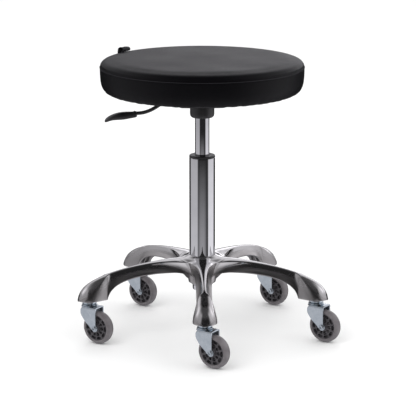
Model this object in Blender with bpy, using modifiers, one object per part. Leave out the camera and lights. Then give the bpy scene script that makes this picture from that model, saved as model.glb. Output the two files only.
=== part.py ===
"""An adjustable swivel stool: a padded round seat on a gas lift, on a cast star base with five casters.

Metres, +Z up. The stool is drawn round its column axis with the floor at z = 0, and the whole of it
then hangs from one empty that moves the middle of its outline, seen from above, onto the origin.
Pieces that touch keep GAP between them. Every moving piece has a parent empty on its joint's axis.
"""

import math

import bmesh
import bpy
import numpy as np
from mathutils import Matrix, Vector

# ---------------------------------------------------------------- driving dimensions, in metres
GAP = 0.0003  # between pieces that touch
RUNNING = 0.0003  # radial room round a shaft

ARM_COUNT = 5
STEM_CIRCLE = 0.2295  # radius of the circle that the caster stems stand on
COLUMN_RADIUS = 0.025
COLUMN_WALL = 0.0016
COLUMN_HEIGHT = 0.193  # what shows above the hub
TUBE_RADIUS = 0.014  # the lift's bright tube
TUBE_WALL = 0.0015
ROD_RADIUS = 0.005
LIFT_STROKE = 0.140
LIFT_AT_REST = 0.070  # how far the lift is drawn out, as stored
LOWEST_GAP = 0.0035  # collar over bush, fully down
SEAT_RADIUS = 0.195
SEAT_THICKNESS = 0.064

# casters
WHEEL_RADIUS = 0.032
TYRE_WIDTH = 0.020
TYRE_DEPTH = 0.0075
CORE_WIDTH = 0.0216
CORE_HUB_RADIUS = 0.0085
AXLE_RADIUS = 0.003
TRAIL = 0.021
FORK_SHEET = 0.0022
WHEEL_SIDE_ROOM = 0.0005  # core to cheek, each side
WHEEL_TOP_ROOM = 0.0065  # tyre to crown
FORK_BOSS = 0.0067  # radius of the cheek round the axle
SWIVEL_HEIGHT = 0.009  # crown to foot
STUD_RADIUS = 0.0055
STUD_LENGTH = 0.026
FLANGE_RADIUS = 0.014
KINGPIN_RADIUS = 0.004
CASTER_HEADING = math.radians(-35.2)  # every caster trails this way, as stored

# star base
ARM_DEPTH = 0.0685  # foot's underside to the arm's highest line
FOOT_RADIUS = 0.0245
FOOT_NOSE = 0.0235  # from the stem to the tip
ARM_HALF_WIDTH = 0.0155
ARM_WALL = 0.0032
HUB_WALL = 0.0025
HUB_HEIGHT = 0.0555
HUB_DISC = 0.0207  # from the bore to the rim of the disc that the arms spring from
HUB_STEP = 0.0045  # arms' top to the hub's
ROOT_WALL = 0.0007  # bore to the arms' roots
SPREAD = 0.069  # an arm's root to where it is slim
BOSS_RADIUS = 0.0105
TAPER = 0.0014  # how much the column and its bore narrow down the hub

# underneath the seat
SOCKET_WALL = 0.0030
COLLAR_WALL = 0.0065
COLLAR_HEIGHT = 0.0217
SHEET = 0.0025  # the bracket's steel
BRACKET_DEPTH = 0.0265
BRACKET_HALF_X = 0.045
BRACKET_HALF_Y = 0.030
PLATE_HALF = 0.070
BOLT_INSET = 0.014
BOLT_RADIUS = 0.003
BOARD_THICKNESS = 0.014
BOARD_INSET = 0.026  # seat's side to the board's edge
COVER = 0.001
CLOTH = 0.0008
PIVOT_REACH = 0.034  # column axis to the lever's pin
PIVOT_RADIUS = 0.0025
LEVER_RADIUS = 0.0035
PIN_TRAVEL = 0.0036
TAB_WIDTH = 0.024
TAB_AZIMUTH = math.radians(143)

SEAT_SIDES = 36  # facets round the pad
COLUMN_SIDES = 30  # facets round the column, its bush and its bore
CORE_SIDES = 12  # facets round a wheel's core: the tyre has twice as many, so its corners meet the core's

# ---------------------------------------------------------------- levels and radii that follow
AXLE_Z = WHEEL_RADIUS
CROWN_Z = 2 * WHEEL_RADIUS + WHEEL_TOP_ROOM + FORK_SHEET
FOOT_Z = CROWN_Z + SWIVEL_HEIGHT
FORK_HALF = CORE_WIDTH / 2 + WHEEL_SIDE_ROOM + FORK_SHEET
ARM_TOP_Z = FOOT_Z + ARM_DEPTH
HUB_TOP_Z = ARM_TOP_Z + HUB_STEP
HUB_BOTTOM_Z = HUB_TOP_Z - HUB_HEIGHT
HUB_BORE_TOP = COLUMN_RADIUS + GAP
HUB_BORE_FOOT = HUB_BORE_TOP - TAPER
ARM_ROOT = HUB_BORE_TOP + ROOT_WALL
ARM_SLIM = ARM_ROOT + SPREAD
HEEL = STEM_CIRCLE - 0.0315  # where the foot's flat underside begins
COLUMN_TOP_Z = HUB_TOP_Z + COLUMN_HEIGHT
COLUMN_NECK = COLUMN_RADIUS - 0.006
COLUMN_FOOT_Z = HUB_BOTTOM_Z - 0.0145
COLUMN_FLOOR = 0.003
BEARING = 0.0075
BUFFER = 0.012
CLIP = 0.0012
CLIP_Z = COLUMN_FOOT_Z - GAP - CLIP
BUSH_FLANGE = 0.0045
BUSH_LENGTH = 0.062
BUSH_TOP_Z = COLUMN_TOP_Z + GAP + BUSH_FLANGE
COLLAR_Z = BUSH_TOP_Z + LOWEST_GAP + LIFT_AT_REST
BRACKET_Z = COLLAR_Z + COLLAR_HEIGHT + GAP
PLATE_TOP_Z = BRACKET_Z + BRACKET_DEPTH
CLOTH_Z = PLATE_TOP_Z + GAP
BOARD_Z = CLOTH_Z + COVER + GAP
BOARD_TOP_Z = BOARD_Z + BOARD_THICKNESS
SEAT_TOP_Z = CLOTH_Z + SEAT_THICKNESS
BOARD_RADIUS = SEAT_RADIUS - BOARD_INSET
HEM_RADIUS = SEAT_RADIUS - 0.045  # inner edge of the cover's turned-in hem
SEAM_DROP = 0.0095  # seat's top to the seam
SOCKET_RADIUS = TUBE_RADIUS + SOCKET_WALL
COLLAR_RADIUS = SOCKET_RADIUS + COLLAR_WALL
TUBE_TOP_Z = BRACKET_Z + 0.006
PIVOT_Z = BRACKET_Z + 0.009
LEVER_Z = PIVOT_Z + 0.0095  # the lever's middle, over the pin
PIN_TOP_Z = LEVER_Z - LEVER_RADIUS - 0.0005
BEARING_Z = COLUMN_FOOT_Z + COLUMN_FLOOR + GAP
BUFFER_Z = BEARING_Z + BEARING + GAP
TUBE_FOOT_Z = BUFFER_Z + BUFFER + GAP + LIFT_AT_REST
GLAND = 0.015
PISTON_Z = TUBE_FOOT_Z + LIFT_STROKE - LIFT_AT_REST + GLAND + 0.005
PISTON = 0.012
LEVER_DROP = 0.0315  # the lever's bend, column side to grip side


# ---------------------------------------------------------------- tools that make meshes
def bake(obj):
    """The object's shape as a mesh of its own, welded, with its place in it. The object is removed."""
    bpy.context.view_layer.update()
    graph = bpy.context.evaluated_depsgraph_get()
    mesh = bpy.data.meshes.new_from_object(obj.evaluated_get(graph))
    mesh.transform(obj.matrix_world)
    work = bmesh.new()
    work.from_mesh(mesh)
    bmesh.ops.remove_doubles(work, verts=work.verts, dist=1e-6)
    work.to_mesh(mesh)
    work.free()
    bpy.data.objects.remove(obj)
    return mesh


def loose(mesh):
    """A passing object that shows a mesh, for a modifier to work on."""
    obj = bpy.data.objects.new("work", mesh)
    bpy.context.scene.collection.objects.link(obj)
    return obj


def combine(mesh, tool, operation):
    """mesh and tool joined, or tool cut from mesh."""
    body, other = loose(mesh), loose(tool)
    modifier = body.modifiers.new("combine", "BOOLEAN")
    modifier.operation = operation
    modifier.object = other
    result = bake(body)
    bpy.data.objects.remove(other)
    return result


def join(mesh, *tools):
    for tool in tools:
        mesh = combine(mesh, tool, "UNION")
    return mesh


def cut(mesh, *tools):
    for tool in tools:
        mesh = combine(mesh, tool, "DIFFERENCE")
    return mesh


def turned(profile, steps, ring=False):
    """A profile of (radius, height) spun about Z. It runs down its outer side; a ring closes on itself."""
    mesh = bpy.data.meshes.new("turned")
    count = len(profile)
    edges = [(i, i + 1) for i in range(count - 1)] + ([(count - 1, 0)] if ring else [])
    mesh.from_pydata([(r, 0, z) for r, z in profile], edges, [])
    obj = loose(mesh)
    screw = obj.modifiers.new("spin", "SCREW")
    screw.steps = screw.render_steps = steps
    screw.use_merge_vertices = True
    screw.merge_threshold = 1e-5
    return bake(obj)


def rod(radius, low, high, sides=16):
    """A cylinder on the Z axis, from low to high."""
    work = bmesh.new()
    bmesh.ops.create_cone(
        work, cap_ends=True, segments=sides, radius1=radius, radius2=radius, depth=high - low
    )
    bmesh.ops.translate(work, verts=work.verts, vec=(0, 0, (low + high) / 2))
    mesh = bpy.data.meshes.new("rod")
    work.to_mesh(mesh)
    work.free()
    return mesh


def block(low, high):
    """A box between two corners."""
    work = bmesh.new()
    bmesh.ops.create_cube(work, size=1)
    low, high = Vector(low), Vector(high)
    bmesh.ops.scale(work, verts=work.verts, vec=high - low)
    bmesh.ops.translate(work, verts=work.verts, vec=(low + high) / 2)
    mesh = bpy.data.meshes.new("block")
    work.to_mesh(mesh)
    work.free()
    return mesh


def prism(outline, low, high):
    """A flat outline in X and Y, with thickness from low to high along Z."""
    curve = bpy.data.curves.new("outline", "CURVE")
    curve.dimensions = "2D"
    curve.fill_mode = "BOTH"
    curve.extrude = (high - low) / 2
    spline = curve.splines.new("POLY")
    spline.points.add(len(outline) - 1)
    for point, (x, y) in zip(spline.points, outline):
        point.co = (x, y, 0, 1)
    spline.use_cyclic_u = True
    obj = loose(curve)
    obj.location.z = (low + high) / 2
    return bake(obj)


def wire(points, radius):
    """A round bar along points."""
    curve = bpy.data.curves.new("wire", "CURVE")
    curve.dimensions = "3D"
    curve.bevel_depth = radius
    curve.bevel_resolution = 2
    curve.use_fill_caps = True
    spline = curve.splines.new("POLY")
    spline.points.add(len(points) - 1)
    for point, place in zip(spline.points, points):
        point.co = (*place, 1)
    return bake(loose(curve))


def turn(mesh, axis, angle):
    """The mesh turned about an axis through the origin."""
    mesh.transform(Matrix.Rotation(angle, 4, axis))
    return mesh


def shift(mesh, place):
    mesh.transform(Matrix.Translation(place))
    return mesh


def arc(centre, radius, start, end, count):
    """Points on an arc, its angles in degrees."""
    angles = np.radians(np.linspace(start, end, count))
    return [(centre[0] + radius * math.cos(a), centre[1] + radius * math.sin(a)) for a in angles]


def bezier(controls, count=40):
    """Points on the cubic curve with four controls."""
    t = np.linspace(0, 1, count)[:, None]
    p = [np.array(c) for c in controls]
    return (1 - t) ** 3 * p[0] + 3 * (1 - t) ** 2 * t * p[1] + 3 * (1 - t) * t**2 * p[2] + t**3 * p[3]


def height_along(curves, r):
    """The height at radius r of a line made of cubic curves, each going outwards."""
    line = np.vstack([bezier(c) for c in curves])
    return float(np.interp(r, line[:, 0], line[:, 1]))


def smoothstep(x, low, high):
    t = min(1.0, max(0.0, (x - low) / (high - low)))
    return t * t * (3 - 2 * t)


# ---------------------------------------------------------------- objects, materials and empties
MATERIALS = {
    "polished_aluminium": ((0.62, 0.60, 0.60), 0.18, 1.0),
    "chrome": ((0.75, 0.75, 0.77), 0.06, 1.0),
    "zinc": ((0.62, 0.67, 0.70), 0.32, 1.0),
    "steel": ((0.45, 0.45, 0.46), 0.35, 1.0),
    "black_steel": ((0.02, 0.02, 0.022), 0.45, 0.0),
    "black_plastic": ((0.015, 0.015, 0.017), 0.35, 0.0),
    "black_vinyl": ((0.02, 0.02, 0.022), 0.42, 0.0),
    "foam": ((0.75, 0.72, 0.60), 0.95, 0.0),
    "plywood": ((0.60, 0.44, 0.28), 0.75, 0.0),
    "black_cloth": ((0.03, 0.03, 0.03), 0.95, 0.0),
    "grey_tyre": ((0.16, 0.15, 0.16), 0.40, 0.0),
    "grey_core": ((0.06, 0.055, 0.065), 0.35, 0.0),
    "rubber": ((0.02, 0.02, 0.02), 0.80, 0.0),
}


def material(name):
    """The named material, made the first time that it is asked for."""
    if name in bpy.data.materials:
        return bpy.data.materials[name]
    colour, roughness, metallic = MATERIALS[name]
    made = bpy.data.materials.new(name)
    made.use_nodes = True
    shader = made.node_tree.nodes["Principled BSDF"]
    shader.inputs["Base Color"].default_value = (*colour, 1)
    shader.inputs["Roughness"].default_value = roughness
    shader.inputs["Metallic"].default_value = metallic
    return made


def part(name, mesh, finish, parent):
    """A named sub-part of the stool, on the empty that it moves with."""
    obj = bpy.data.objects.new(name, mesh)
    STOOL.objects.link(obj)
    obj.parent = parent
    if finish not in [m.name for m in mesh.materials if m]:
        mesh.materials.clear()
        mesh.materials.append(material(finish))
    mesh.shade_smooth()
    mesh.set_sharp_from_angle(angle=math.radians(32))
    return obj


def empty(name, parent, place=(0, 0, 0), heading=0.0):
    made = bpy.data.objects.new(name, None)
    made.empty_display_size = 0.02
    STOOL.objects.link(made)
    made.parent = parent
    made.location = place
    made.rotation_euler.z = heading
    return made


# ---------------------------------------------------------------- star base
def arm_lines():
    """(top line, under line) of an arm in its upright middle plane, as cubic curves of (radius, height)."""
    knee = STEM_CIRCLE - 0.0795
    knee_z = ARM_TOP_Z - 0.0092
    tip = STEM_CIRCLE + FOOT_NOSE
    top = [
        [
            (ARM_ROOT, ARM_TOP_Z),
            (ARM_ROOT + 0.044, ARM_TOP_Z + 0.001),
            (knee - 0.040, knee_z + 0.007),
            (knee, knee_z),
        ],
        [
            (knee, knee_z),
            (knee + 0.040, knee_z - 0.007),
            (tip - 0.002, knee_z - 0.021),
            (tip, FOOT_Z),
        ],
    ]
    arch_z = ARM_TOP_Z - 0.0225
    under = [
        [
            (ARM_ROOT, HUB_BOTTOM_Z + 0.006),
            (ARM_ROOT + 0.008, arch_z - 0.003),
            (ARM_ROOT + 0.029, arch_z),
            (ARM_SLIM, arch_z),
        ],
        [
            (ARM_SLIM, arch_z),
            ((ARM_SLIM + HEEL) / 2 - 0.0065, arch_z),
            (HEEL - 0.020, arch_z - 0.010),
            (HEEL - 0.009, FOOT_Z + 0.0205),
        ],
        [
            (HEEL - 0.009, FOOT_Z + 0.0205),
            (HEEL - 0.005, FOOT_Z + 0.014),
            (HEEL - 0.003, FOOT_Z + 0.006),
            (HEEL, FOOT_Z),
        ],
    ]
    return top, under


def arm_half_width(r):
    """Half the arm's width at its lower edge: broad at the hub, slim, then round at the foot."""
    if r <= ARM_SLIM:
        spread = [(0.0, 0.0015), (0.010, 0.0080), (0.019, 0.0090), (0.030, 0.0050), (0.046, 0.0017)]
        return ARM_HALF_WIDTH + float(np.interp(r - ARM_ROOT, *zip(*spread, (SPREAD, 0.0))))
    if r <= STEM_CIRCLE:
        flare = smoothstep(r, STEM_CIRCLE - 0.056, STEM_CIRCLE + 0.004)
        return ARM_HALF_WIDTH + (FOOT_RADIUS - ARM_HALF_WIDTH) * flare
    share = (r - STEM_CIRCLE) / (FOOT_NOSE + 0.0005)
    return FOOT_RADIUS * math.sqrt(max(0.0, 1 - share * share))


def arm_section(r, inset):
    """One side of the arm's section, from its crest to its lower edge, as (sideways, height)."""
    top, under = arm_lines()
    crest, edge = height_along(top, r) - inset, height_along(under, r)
    half = arm_half_width(r) - inset * 0.8
    ridge = half * (0.92 - 0.62 * smoothstep(r, ARM_ROOT + 0.004, ARM_SLIM))
    bulge = smoothstep(r, STEM_CIRCLE - 0.052, STEM_CIRCLE - 0.018)
    spoke = [(0, 1), (ridge, 0.93), (ridge + 0.55 * (half - ridge), 0.50), (half, 0)]
    dome = [(half * math.sin(a), math.cos(a)) for a in (0, 0.62, 1.12, math.pi / 2)]
    return [
        (
            (1 - bulge) * s[0] + bulge * d[0],
            edge + (crest - edge) * ((1 - bulge) * s[1] + bulge * d[1]),
        )
        for s, d in zip(spoke, dome)
    ]


def loft(rings):
    """A closed skin over rings of equally many points, which fan from their first point at the ends."""
    work = bmesh.new()
    loops = [[work.verts.new(p) for p in ring] for ring in rings]
    for a, b in zip(loops, loops[1:]):
        for i in range(len(a)):
            j = (i + 1) % len(a)
            work.faces.new((a[i], a[j], b[j], b[i]))
    ends = [work.faces.new(loops[0]), work.faces.new(loops[-1])]
    bmesh.ops.triangulate(work, faces=ends)
    bmesh.ops.recalc_face_normals(work, faces=work.faces)
    mesh = bpy.data.meshes.new("loft")
    work.to_mesh(mesh)
    work.free()
    return mesh


def arm_mesh(hollow):
    """One arm along +X: a loft between its unlike sections. A hollow one is open underneath."""
    stations = [ARM_ROOT + d for d in (0.0, 0.010, 0.019, 0.032, SPREAD)]
    stations += [(ARM_SLIM + HEEL - 0.0465) / 2]
    stations += [HEEL + d for d in (-0.0465, -0.0255, -0.0120, -0.0045, 0.0)]
    stations += [STEM_CIRCLE + d for d in (-0.019, -0.004, 0.009, FOOT_NOSE - 0.0055, FOOT_NOSE - 0.001)]
    rings = []
    for r in stations:
        past = max(0.0, (r - STEM_CIRCLE + 0.019) / (FOOT_NOSE + 0.019))
        outer = [(r, y, z) for y, z in arm_section(r, 0)]
        inner_r = r - ARM_WALL * past
        inner = [(inner_r, y, z) for y, z in arm_section(inner_r, ARM_WALL)]
        inner[-1] = (inner_r, inner[-1][1], outer[-1][2])
        inner = [inner[0], inner[1], inner[3]] if hollow else []
        right = outer + inner[::-1]
        left = [(x, -y, z) for x, y, z in right[::-1] if y]
        rings.append(right + left)
    return loft(rings)


def star_base():
    """Hub and arms as one casting, with a tapered bore and a socket for each caster."""
    disc = HUB_BORE_TOP + HUB_DISC
    hub = turned(
        [
            (HUB_BORE_TOP + 0.0008, HUB_TOP_Z),
            (HUB_BORE_TOP + 0.006, HUB_TOP_Z - 0.0025),
            (disc - 0.001, ARM_TOP_Z - 0.0030),
            (disc, ARM_TOP_Z - 0.0050),
            (disc - 0.001, ARM_TOP_Z - 0.0150),
            (HUB_BORE_TOP + 0.0085, ARM_TOP_Z - 0.0205),
            (HUB_BORE_TOP + HUB_WALL + 0.001, ARM_TOP_Z - 0.0310),
            (HUB_BORE_FOOT + HUB_WALL + 0.001, HUB_BOTTOM_Z + 0.002),
            (HUB_BORE_FOOT + HUB_WALL, HUB_BOTTOM_Z),
            (HUB_BORE_FOOT, HUB_BOTTOM_Z),
            (HUB_BORE_TOP, HUB_TOP_Z),
        ],
        COLUMN_SIDES,
        ring=True,
    )
    boss = shift(rod(BOSS_RADIUS, FOOT_Z, ARM_TOP_Z, 12), (STEM_CIRCLE, 0, 0))
    boss = combine(boss, arm_mesh(hollow=False), "INTERSECT")
    socket = rod(STUD_RADIUS + GAP, FOOT_Z - 0.002, FOOT_Z + STUD_LENGTH + 0.001, 14)
    arm = cut(join(arm_mesh(hollow=True), boss), shift(socket, (STEM_CIRCLE, 0, 0)))
    arms = bmesh.new()
    for k in range(ARM_COUNT):
        arms.from_mesh(turn(arm.copy(), "Z", arm_angle(k)))
    mesh = bpy.data.meshes.new("arms")
    arms.to_mesh(mesh)
    arms.free()
    return join(hub, mesh)


def arm_angle(k):
    """Arm 0 points to the front, and the rest follow anticlockwise."""
    return -math.pi / 2 + k * 2 * math.pi / ARM_COUNT


# ---------------------------------------------------------------- column and gas lift
def column_tube():
    r, w, neck = COLUMN_RADIUS, COLUMN_WALL, COLUMN_NECK
    lower = r - TAPER
    return turned(
        [
            (r, COLUMN_TOP_Z),
            (r, HUB_TOP_Z + 0.001),
            (lower, HUB_BOTTOM_Z),
            (lower - 0.001, HUB_BOTTOM_Z - 0.002),
            (neck, HUB_BOTTOM_Z - 0.0055),
            (neck - 0.0005, COLUMN_FOOT_Z),
            (ROD_RADIUS + GAP, COLUMN_FOOT_Z),
            (ROD_RADIUS + GAP, COLUMN_FOOT_Z + COLUMN_FLOOR),
            (neck - w, COLUMN_FOOT_Z + COLUMN_FLOOR),
            (neck - w, HUB_BOTTOM_Z - 0.0035),
            (lower - w, HUB_BOTTOM_Z + 0.001),
            (r - w, HUB_TOP_Z + 0.001),
            (r - w, COLUMN_TOP_Z),
        ],
        COLUMN_SIDES,
        ring=True,
    )


def column_bush():
    """The plastic guide in the column's mouth, with the flange that caps it."""
    sleeve = COLUMN_RADIUS - COLUMN_WALL - GAP
    bore = TUBE_RADIUS + RUNNING
    low = COLUMN_TOP_Z + GAP
    return turned(
        [
            (bore + 0.0005, BUSH_TOP_Z),
            (COLUMN_RADIUS - 0.0016, BUSH_TOP_Z),
            (COLUMN_RADIUS, BUSH_TOP_Z - 0.0014),
            (COLUMN_RADIUS, low),
            (sleeve, low),
            (sleeve, low - BUSH_LENGTH),
            (bore, low - BUSH_LENGTH),
            (bore, BUSH_TOP_Z - 0.0005),
        ],
        COLUMN_SIDES,
        ring=True,
    )


def ring_mesh(bore, radius, low, high, steps=20):
    return turned([(radius, high), (radius, low), (bore, low), (bore, high)], steps, ring=True)


def piston_rod():
    """The lift's rod, held at the column's floor by a clip in its groove."""
    low, groove = COLUMN_FOOT_Z - 0.0055, CLIP_Z - GAP
    r, slim = ROD_RADIUS, ROD_RADIUS - 0.0012
    return turned(
        [
            (0, PISTON_Z + PISTON + 0.003),
            (r, PISTON_Z + PISTON + 0.003),
            (r, groove + CLIP + 2 * GAP),
            (slim, groove + CLIP + 2 * GAP),
            (slim, groove),
            (r, groove),
            (r, low + 0.001),
            (r - 0.001, low),
            (0, low),
        ],
        20,
    )


def piston():
    """The seal that runs in the tube, on the rod's upper end."""
    return ring_mesh(ROD_RADIUS + GAP, TUBE_RADIUS - TUBE_WALL - GAP, PISTON_Z, PISTON_Z + PISTON)


def rod_clip():
    return ring_mesh(ROD_RADIUS - 0.0012 + GAP, 0.0095, CLIP_Z, CLIP_Z + CLIP, 16)


def thrust_bearing():
    """Two washers with a cage of balls between them, drawn as one stack."""
    low, high, race = BEARING_Z, BEARING_Z + BEARING, 0.0020
    bore, r = ROD_RADIUS + GAP, COLUMN_NECK - COLUMN_WALL - 0.002
    return turned(
        [
            (r, high),
            (r, high - race),
            (r - 0.0015, high - race),
            (r - 0.0015, low + race),
            (r, low + race),
            (r, low),
            (bore, low),
            (bore, high),
        ],
        16,
        ring=True,
    )


def rod_buffer():
    """The rubber stop that the tube lands on."""
    return ring_mesh(ROD_RADIUS + GAP, 0.0125, BUFFER_Z, BUFFER_Z + BUFFER)


def pressure_tube():
    """The bright tube: open below, closed above by the valve end, whose outside tapers into the socket."""
    r, bore, pin = TUBE_RADIUS, TUBE_RADIUS - TUBE_WALL, 0.0026 + GAP
    valve = PISTON_Z + PISTON + 0.004 + LIFT_AT_REST + 0.002
    return turned(
        [
            (r - 0.0012, TUBE_TOP_Z),
            (r - 0.0006, TUBE_TOP_Z - 0.0012),
            (r, COLLAR_Z + 0.0015),
            (r, TUBE_FOOT_Z + 0.001),
            (r - 0.0008, TUBE_FOOT_Z),
            (bore, TUBE_FOOT_Z),
            (bore, valve),
            (pin, valve),
            (pin, TUBE_TOP_Z),
        ],
        24,
        ring=True,
    )


def tube_gland():
    """The seal and guide that close the tube round the rod."""
    return ring_mesh(
        ROD_RADIUS + RUNNING,
        TUBE_RADIUS - TUBE_WALL - GAP,
        TUBE_FOOT_Z + 0.001,
        TUBE_FOOT_Z + GLAND,
    )


def release_pin():
    """The valve's button on its stem."""
    r, shoulder = 0.0040, TUBE_TOP_Z + PIN_TRAVEL + 2 * GAP
    return turned(
        [
            (0, PIN_TOP_Z),
            (r - 0.0008, PIN_TOP_Z),
            (r, PIN_TOP_Z - 0.0008),
            (r, shoulder),
            (0.0026, shoulder),
            (0.0026, TUBE_TOP_Z - 0.022),
            (0, TUBE_TOP_Z - 0.022),
        ],
        16,
    )


# ---------------------------------------------------------------- bracket, lever and seat
def bracket_socket():
    """The tapered socket that grips the tube's end."""
    low, high = COLLAR_Z + 0.0025, TUBE_TOP_Z
    return turned(
        [
            (SOCKET_RADIUS, high),
            (SOCKET_RADIUS, low),
            (TUBE_RADIUS + GAP, low),
            (TUBE_RADIUS - 0.0006 + GAP, high),
        ],
        24,
        ring=True,
    )


def socket_collar():
    r, low, high = COLLAR_RADIUS, COLLAR_Z, COLLAR_Z + COLLAR_HEIGHT
    hole, inside = TUBE_RADIUS + RUNNING, SOCKET_RADIUS + GAP
    return turned(
        [
            (r, high),
            (r, low + 0.006),
            (r - 0.0012, low + 0.0025),
            (r - 0.0042, low),
            (hole, low),
            (hole, low + 0.0022),
            (inside, low + 0.0022),
            (inside, high),
        ],
        24,
        ring=True,
    )


def bolt_places():
    reach = PLATE_HALF - BOLT_INSET
    return [(x * reach, y * reach) for x, y in ((1, 1), (-1, 1), (-1, -1), (1, -1))]


def seat_bracket():
    """A pressed steel box with a bolting flange, a hole for the socket and a slot for the lever."""
    hx, hy, low, high = BRACKET_HALF_X, BRACKET_HALF_Y, BRACKET_Z, PLATE_TOP_Z
    corner = PLATE_HALF - 0.012
    outline = []
    for x, y, start in ((1, 1, 0), (-1, 1, 90), (-1, -1, 180), (1, -1, 270)):
        outline += arc((x * corner, y * corner), 0.012, start, start + 90, 4)
    plate = prism(outline, high - SHEET, high)
    body = join(plate, block((-hx, -hy, low), (hx, hy, high - SHEET / 2)))
    inside = block((-hx + SHEET, -hy + SHEET, low + SHEET), (hx - SHEET, hy - SHEET, high + 0.01))
    slot = block((-hx - 0.01, -0.0062, PIVOT_Z - 0.0030), (-hx + 0.01, 0.0062, LEVER_Z + 0.0062))
    mouth = rod(SOCKET_RADIUS + GAP, low - 0.01, low + 0.01, 24)
    pin = turn(rod(PIVOT_RADIUS + GAP, -0.05, 0.05, 12), "X", math.pi / 2)
    pin = shift(pin, (-PIVOT_REACH, 0, PIVOT_Z))
    holes = [
        shift(rod(BOLT_RADIUS + GAP, high - 0.01, high + 0.01, 12), (x, y, 0)) for x, y in bolt_places()
    ]
    return cut(body, inside, slot, mouth, pin, *holes)


def lever_pivot_pin():
    """A headed pin across the bracket."""
    end, head = BRACKET_HALF_Y + GAP, 0.0040
    pin = turned(
        [
            (0, end + 0.0016),
            (head, end + 0.0016),
            (head, end),
            (PIVOT_RADIUS, end),
            (PIVOT_RADIUS, -end - 0.0025),
            (0, -end - 0.0025),
        ],
        12,
    )
    return turn(pin, "X", math.pi / 2)


def bracket_bolt():
    """A hexagon bolt, head down, with its shank's foot at z = 0 under the bracket's plate."""
    length = SHEET + GAP + COVER + GAP + BOARD_THICKNESS - 0.001
    return join(rod(0.0058, -0.0045, -GAP, 6), rod(BOLT_RADIUS, -0.002, length, 12))


def tee_nut(clearance=0.0):
    """The flanged nut sunk in the board's top. With clearance, it is the hole that takes it."""
    flange, barrel, drop = 0.0090 + clearance, 0.0043 + clearance, 0.0014 + clearance
    top = BOARD_TOP_Z + (0.01 if clearance else -GAP)
    foot = BOARD_TOP_Z - 0.009 - clearance
    shape = [(flange, top), (flange, BOARD_TOP_Z - drop), (barrel, BOARD_TOP_Z - drop), (barrel, foot)]
    if clearance:
        return turned([(0, top)] + shape + [(0, foot)], 14)
    bore = BOLT_RADIUS + GAP
    return turned(shape + [(bore, foot), (bore, top)], 14, ring=True)


def seat_board():
    """The plywood disc that carries the pad."""
    board = turned(
        [
            (0, BOARD_TOP_Z),
            (BOARD_RADIUS - 0.0015, BOARD_TOP_Z),
            (BOARD_RADIUS, BOARD_TOP_Z - 0.0015),
            (BOARD_RADIUS, BOARD_Z + 0.0015),
            (BOARD_RADIUS - 0.0015, BOARD_Z),
            (0, BOARD_Z),
        ],
        SEAT_SIDES,
    )
    for x, y in bolt_places():
        board = cut(
            board,
            shift(tee_nut(GAP), (x, y, 0)),
            shift(rod(BOLT_RADIUS + GAP, BOARD_Z - 0.01, BOARD_TOP_Z, 12), (x, y, 0)),
        )
    return board


def pad_profile(inset, fineness=3):
    """The pad's outline from its flat top to its underside, drawn in by inset."""
    r, top, low = SEAT_RADIUS - inset, SEAT_TOP_Z - inset, CLOTH_Z + inset
    shoulder, foot = 0.013, 0.021
    side = [(r - 0.0006, top - SEAM_DROP - 0.012), (r - 0.0022, low + foot + 0.003)]
    return (
        [(0, top), (r - 0.026, top)]
        + [
            (r - 0.0015 - shoulder * (1 - math.sin(a)), top - shoulder * 0.72 * (1 - math.cos(a)))
            for a in np.linspace(0.35, 1.35, fineness)
        ]
        + side
        + [
            (r - 0.0030 - foot * 0.75 * (1 - math.cos(a)), low + foot * (1 - math.sin(a)))
            for a in np.linspace(0.30, 1.15, fineness)
        ]
        + [(r - 0.020, low)]
    )


def seat_foam():
    """The foam, which sits on the board and laps its edge."""
    outline, lap = pad_profile(COVER + GAP, 2), BOARD_RADIUS + GAP
    low, high = outline[-1][1], BOARD_TOP_Z + GAP
    return turned(outline + [(lap, low), (lap, high), (0, high)], SEAT_SIDES)


def seat_cover():
    """The sewn vinyl skin, drawn under the board's edge to a hem."""
    hem = [(HEM_RADIUS, CLOTH_Z), (HEM_RADIUS, CLOTH_Z + COVER)]
    return turned(pad_profile(0) + hem + pad_profile(COVER, 2)[::-1], SEAT_SIDES)


def dust_cover():
    """The cloth that closes the underside inside the hem, with holes for the bolts."""
    disc = turned(
        [
            (0, CLOTH_Z + CLOTH),
            (HEM_RADIUS - 0.0006, CLOTH_Z + CLOTH),
            (HEM_RADIUS - 0.0006, CLOTH_Z),
            (0, CLOTH_Z),
        ],
        SEAT_SIDES,
    )
    holes = [
        shift(rod(BOLT_RADIUS + 2 * GAP, CLOTH_Z - 0.01, CLOTH_Z + 0.01, 12), (x, y, 0))
        for x, y in bolt_places()
    ]
    return cut(disc, *holes)


def lever_line():
    """The lever's middle line in the XZ plane, from over the pin outwards to inside the grip."""
    bend = bezier(
        [
            (-BRACKET_HALF_X - 0.004, LEVER_Z - 0.001),
            (-BRACKET_HALF_X - 0.034, LEVER_Z - 0.006),
            (-BRACKET_HALF_X - 0.044, LEVER_Z - LEVER_DROP),
            (-BRACKET_HALF_X - 0.080, LEVER_Z - LEVER_DROP - 0.001),
        ],
        9,
    )
    line = [(0.002, LEVER_Z), (-PIVOT_REACH, LEVER_Z), *map(tuple, bend)]
    return line + [(line[-1][0] - 0.022, line[-1][1] - 0.0012)]


def lever_rod():
    """The bent bar with the block that it pivots on."""
    line = [(x, 0, z) for x, z in lever_line()]
    x = -PIVOT_REACH
    hub = block((x - 0.0055, -0.0055, PIVOT_Z - 0.0050), (x + 0.0055, 0.0055, LEVER_Z + 0.0046))
    pin = turn(rod(PIVOT_RADIUS + RUNNING, -0.02, 0.02, 12), "X", math.pi / 2)
    return cut(join(hub, wire(line, LEVER_RADIUS)), shift(pin, (x, 0, PIVOT_Z)))


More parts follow.
